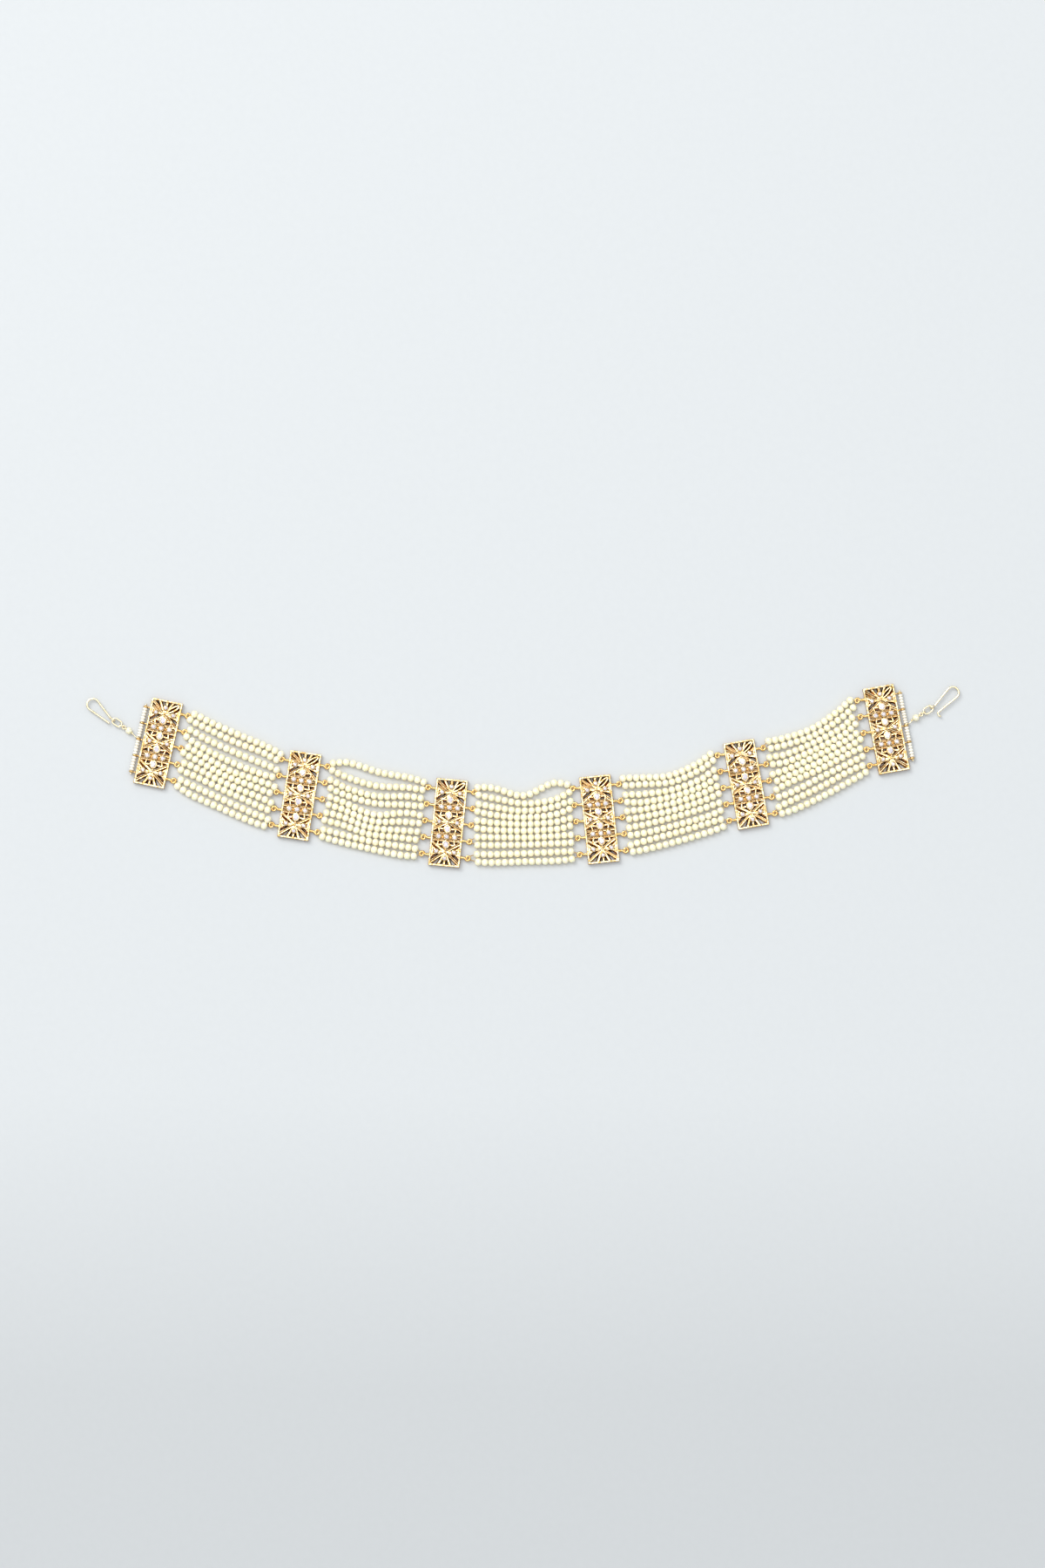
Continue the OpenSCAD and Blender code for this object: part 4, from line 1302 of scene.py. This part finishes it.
@dataclass
class EndChain:
    """What hangs on an end plate's pin: a pearl, turns of fine wire beside it and the hook.

    Its lengths are measured from the pin. The hook's turns are, at the left and the right end,
    how far its leg splays and how far its tip curls, in degrees. The wraps are the distance
    before the pearl and the number of turns, at each end.
    """

    plan: Plan
    finishes: Finishes
    side: Side
    pearl_d: float = 2.85
    pearl_at: float = 5.4
    hook_wire: float = 0.84
    hook_from: float = 14.995
    hook_eye_at: float = 14.125
    hook_eye_r: float = 0.87
    bend_at: float = 25.355
    bend_side: float = 0.4
    bend_r: float = 2.62
    leg: float = 0.76 * 13.4
    curl_r: float = 1.2
    hook_turns: tuple[Pair, ...] = ((0, 25), (6, 130))
    wrap_r: float = 0.36
    wrap_pitch: float = 0.26
    wraps_before: tuple[tuple[float, int], ...] = ((0.65, 2), (1.15, 4))

    @property
    def end(self) -> int:
        """0 at the left and 1 at the right."""
        return 0 if self.side is Side.LEFT else 1

    def placed(self, work: Work) -> None:
        """Move a mesh from the chain's own frame, whose x runs out from the pin, to its place."""
        off = turned((0, self.plan.eye_off), self.plan.plate_turns[self.side.plate])
        work.moved(self.plan.end_turns[self.end], self.plan.pin(self.side) + off)

    def hook_line(self) -> np.ndarray:
        """Middle line of the hook's wire, from its eye to the tip of its curl.

        Returns:
            The points, in the chain's own frame.
        """
        splay, curl = self.hook_turns[self.end]
        centre = np.array([self.bend_at, self.bend_side])
        way = centre - np.array([self.hook_from, 0])
        leg_turn = math.degrees(math.atan2(way[1], way[0])
                                + math.asin(self.bend_r / float(np.linalg.norm(way))))
        end_turn = splay - 90
        leg_end = centre + turned((self.bend_r, 0), end_turn)
        tip = leg_end + turned((self.leg, 0), end_turn - 90)
        curl_at = tip + turned((self.curl_r, 0), end_turn)

        def arc(at: np.ndarray, r: float, start: float, sweep: float, n: int) -> list[np.ndarray]:
            """Points of an arc."""
            return [at + turned((r, 0), start + sweep * k / n) for k in range(n + 1)]

        points = [np.array([self.hook_from - 0.3, 0.0]), np.array([self.hook_from + 0.6, 0.03])]
        bend = arc(centre, self.bend_r, leg_turn + 90, end_turn - leg_turn - 90, 24)
        points += [points[1] + (bend[0] - points[1]) * s for s in (0.33, 0.66)] + bend
        points += [bend[-1] + (tip - bend[-1]) * s for s in (0.33, 0.66)]
        points += arc(curl_at, self.curl_r, end_turn + 180, curl, 12)
        line = level(np.array(points), self.plan.string_z)
        if self.side is Side.LEFT:
            line[:, 1] *= -1
        return line

    def hook(self) -> Piece:
        """Build the hook: its wire, a rounded tip and the eye that holds it on the link."""
        work, line, r = Work(), self.hook_line(), self.hook_wire / 2
        tail = unit(line[-1] - line[-2])
        cap = ((0.35, 0.93), (0.7, 0.7), (0.92, 0.4), (1.0, 0.05))
        radii = [r] * len(line) + [share * r for _, share in cap]
        work.tube(np.vstack([line, [line[-1] + tail * r * far for far, _ in cap]]), radii, 16)
        eye = upright(circle(self.hook_eye_r, 32), self.plan.string_z)
        work.tube(eye + (self.hook_eye_at, 0, 0), r, 14, closed=True)
        self.placed(work)
        return work.make(f"hook_wire_{self.side.word}", [self.finishes.pale], Slot.GOLD,
                         [f"hook_{self.side.word}"])

    def pearl(self) -> Piece:
        """Build the chain's pearl."""
        work = Work()
        at, way = np.array([self.pearl_at, 0, self.plan.string_z]), np.array([1.0, 0, 0])
        PearlShape(sides=28).add(work, at, way, self.pearl_d / 2, 0.08)
        self.placed(work)
        return work.make(f"chain_pearl_{self.side.word}", [self.finishes.pearl], Slot.PEARL,
                         [f"end_pearl_{self.side.word}"], crease=ROUND_CREASE)

    def wrap(self) -> Piece:
        """Build the turns of fine wire wound round the chain's wire on each side of its pearl."""
        work, r = Work(), self.pearl_d / 2
        before, turns_before = self.wraps_before[self.end]
        for start, turns in ((r + 0.05, 3), (-r - before, turns_before)):
            t = np.linspace(0, turns * 2 * math.pi, turns * 12 + 1)
            x = self.pearl_at + start + self.wrap_pitch * t / (2 * math.pi)
            work.tube(np.column_stack([x, self.wrap_r * np.cos(t),
                                       self.plan.string_z + self.wrap_r * np.sin(t)]), 0.14, 8)
        self.placed(work)
        return work.make(f"wire_wrap_{self.side.word}", [self.finishes.pale], Slot.GOLD)

    def build(self) -> None:
        """Build the chain's pearl, hook and turns of fine wire."""
        self.pearl()
        self.hook()
        self.wrap()


@dataclass
class Links:
    """The CAD pieces of wire that keep their own shape: pins, eyes and links."""

    finishes: Finishes
    kinds: tuple[str, ...] = ("bar_pin", "eye_pin", "short_link", "oval_link")

    def dress(self, nodes: dict[str, Piece]) -> None:
        """Give each piece its finish.

        Args:
            nodes: The CAD nodes by name.
        """
        for kind in self.kinds:
            for side in Side:
                name = f"{kind}_{side.word}"
                mesh = nodes[name].data
                mesh.materials.clear()
                mesh.materials.append(self.finishes.pale)
                for face in mesh.polygons:
                    face.use_smooth = True
                log.info("%s: keeps the CAD shape", name)


# ---- studio


@dataclass(frozen=True)
class Lamp:
    """A soft square light that faces the band; its power is in watts."""

    name: str
    at: Point
    size: float
    power: float
    colour: Colour = WHITE

    def build(self) -> None:
        """Make the light."""
        data = bpy.data.lights.new(self.name, "AREA")
        data.size, data.energy, data.color = self.size, self.power, self.colour
        lamp = in_scene(self.name, data)
        lamp.location = self.at
        lamp.rotation_euler = (-Vector(self.at)).to_track_quat("-Z", "Y").to_euler()


@dataclass
class Studio:
    """The camera above the band, the pale table and soft light from the upper left."""

    finishes: Finishes
    elevation: float = 84
    distance: float = 1.6448
    lens: float = 85
    target: tuple[float, float, float] = (-0.0002, -0.0036, 0.0)
    sensor: float = 36
    table_r: float = 3
    lamps: tuple[Lamp, ...] = (
        Lamp("window_light", (-1.8, 2.0, 2.8), 2.0, 82, (1.0, 0.99, 0.97)),
        Lamp("sky_panel", (-0.1, 0.4, 2.4), 1.9, 22),
    )
    air_greys: tuple[Pair, ...] = ((0.03, 0.5), (0.5, 0.8))
    air_strength: float = 1.04

    def camera(self) -> None:
        """Make the camera at the photograph's angle."""
        data = bpy.data.cameras.new("photo_camera")
        data.lens = self.lens
        data.sensor_width = self.sensor
        data.clip_start, data.clip_end = 0.05, 20
        camera = in_scene("photo_camera", data)
        e = math.radians(self.elevation)
        back = Vector((0, -math.cos(e), math.sin(e)))
        camera.location = Vector(self.target) + back * self.distance
        camera.rotation_mode = "QUATERNION"
        camera.rotation_quaternion = (-back).to_track_quat("-Z", "Y")
        bpy.context.scene.camera = camera

    def table(self) -> None:
        """Make the table top."""
        mesh = bpy.data.meshes.new("table_top")
        r = self.table_r
        mesh.from_pydata([(-r, -r, 0), (r, -r, 0), (r, r, 0), (-r, r, 0)], [], [(0, 1, 2, 3)])
        mesh.materials.append(self.finishes.table)
        top = in_scene("table_top", mesh)

    def air(self) -> None:
        """Make the air of the room: bright overhead and dimmer towards the walls."""
        world = bpy.data.worlds.new("studio_air")
        world.use_nodes = True
        nodes, links = world.node_tree.nodes, world.node_tree.links
        place, split = nodes.new("ShaderNodeTexCoord"), nodes.new("ShaderNodeSeparateXYZ")
        ramp = nodes.new("ShaderNodeValToRGB")
        for element, (at, grey) in zip(ramp.color_ramp.elements, self.air_greys):
            element.position = at
            element.color = (grey * 0.97, grey * 0.99, grey, 1)
        links.new(place.outputs["Generated"], split.inputs[0])
        links.new(split.outputs["Z"], ramp.inputs["Fac"])
        links.new(ramp.outputs["Color"], nodes["Background"].inputs["Color"])
        nodes["Background"].inputs["Strength"].default_value = self.air_strength
        bpy.context.scene.world = world

    def build(self) -> None:
        """Build the camera, the table and the lights."""
        self.camera()
        self.table()
        for lamp in self.lamps:
            lamp.build()
        self.air()
        bpy.context.scene.view_settings.view_transform = "Standard"


def corners(box: tuple[Vector, Vector]) -> list[list[float]]:
    """A box's two corners as plain lists."""
    return [list(corner) for corner in box]


def main() -> None:
    """Build every piece in order."""
    logging.basicConfig(level=logging.INFO, format="%(message)s")
    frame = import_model()
    plan, finishes = Plan(), Finishes()
    Studio(finishes).build()
    for number in range(PLATES):
        Plate(plan, finishes, number).build()
    for gap in range(PLATES - 1):
        PearlStrings(plan, finishes, gap, **(LARGER_PEARLS if gap == 0 else {})).build()
    for side in Side:
        BeadBar(plan, finishes, side).build()
        EndChain(plan, finishes, side).build()
    Links(finishes).dress(frame["nodes"])


if __name__ == "__main__":
    main()
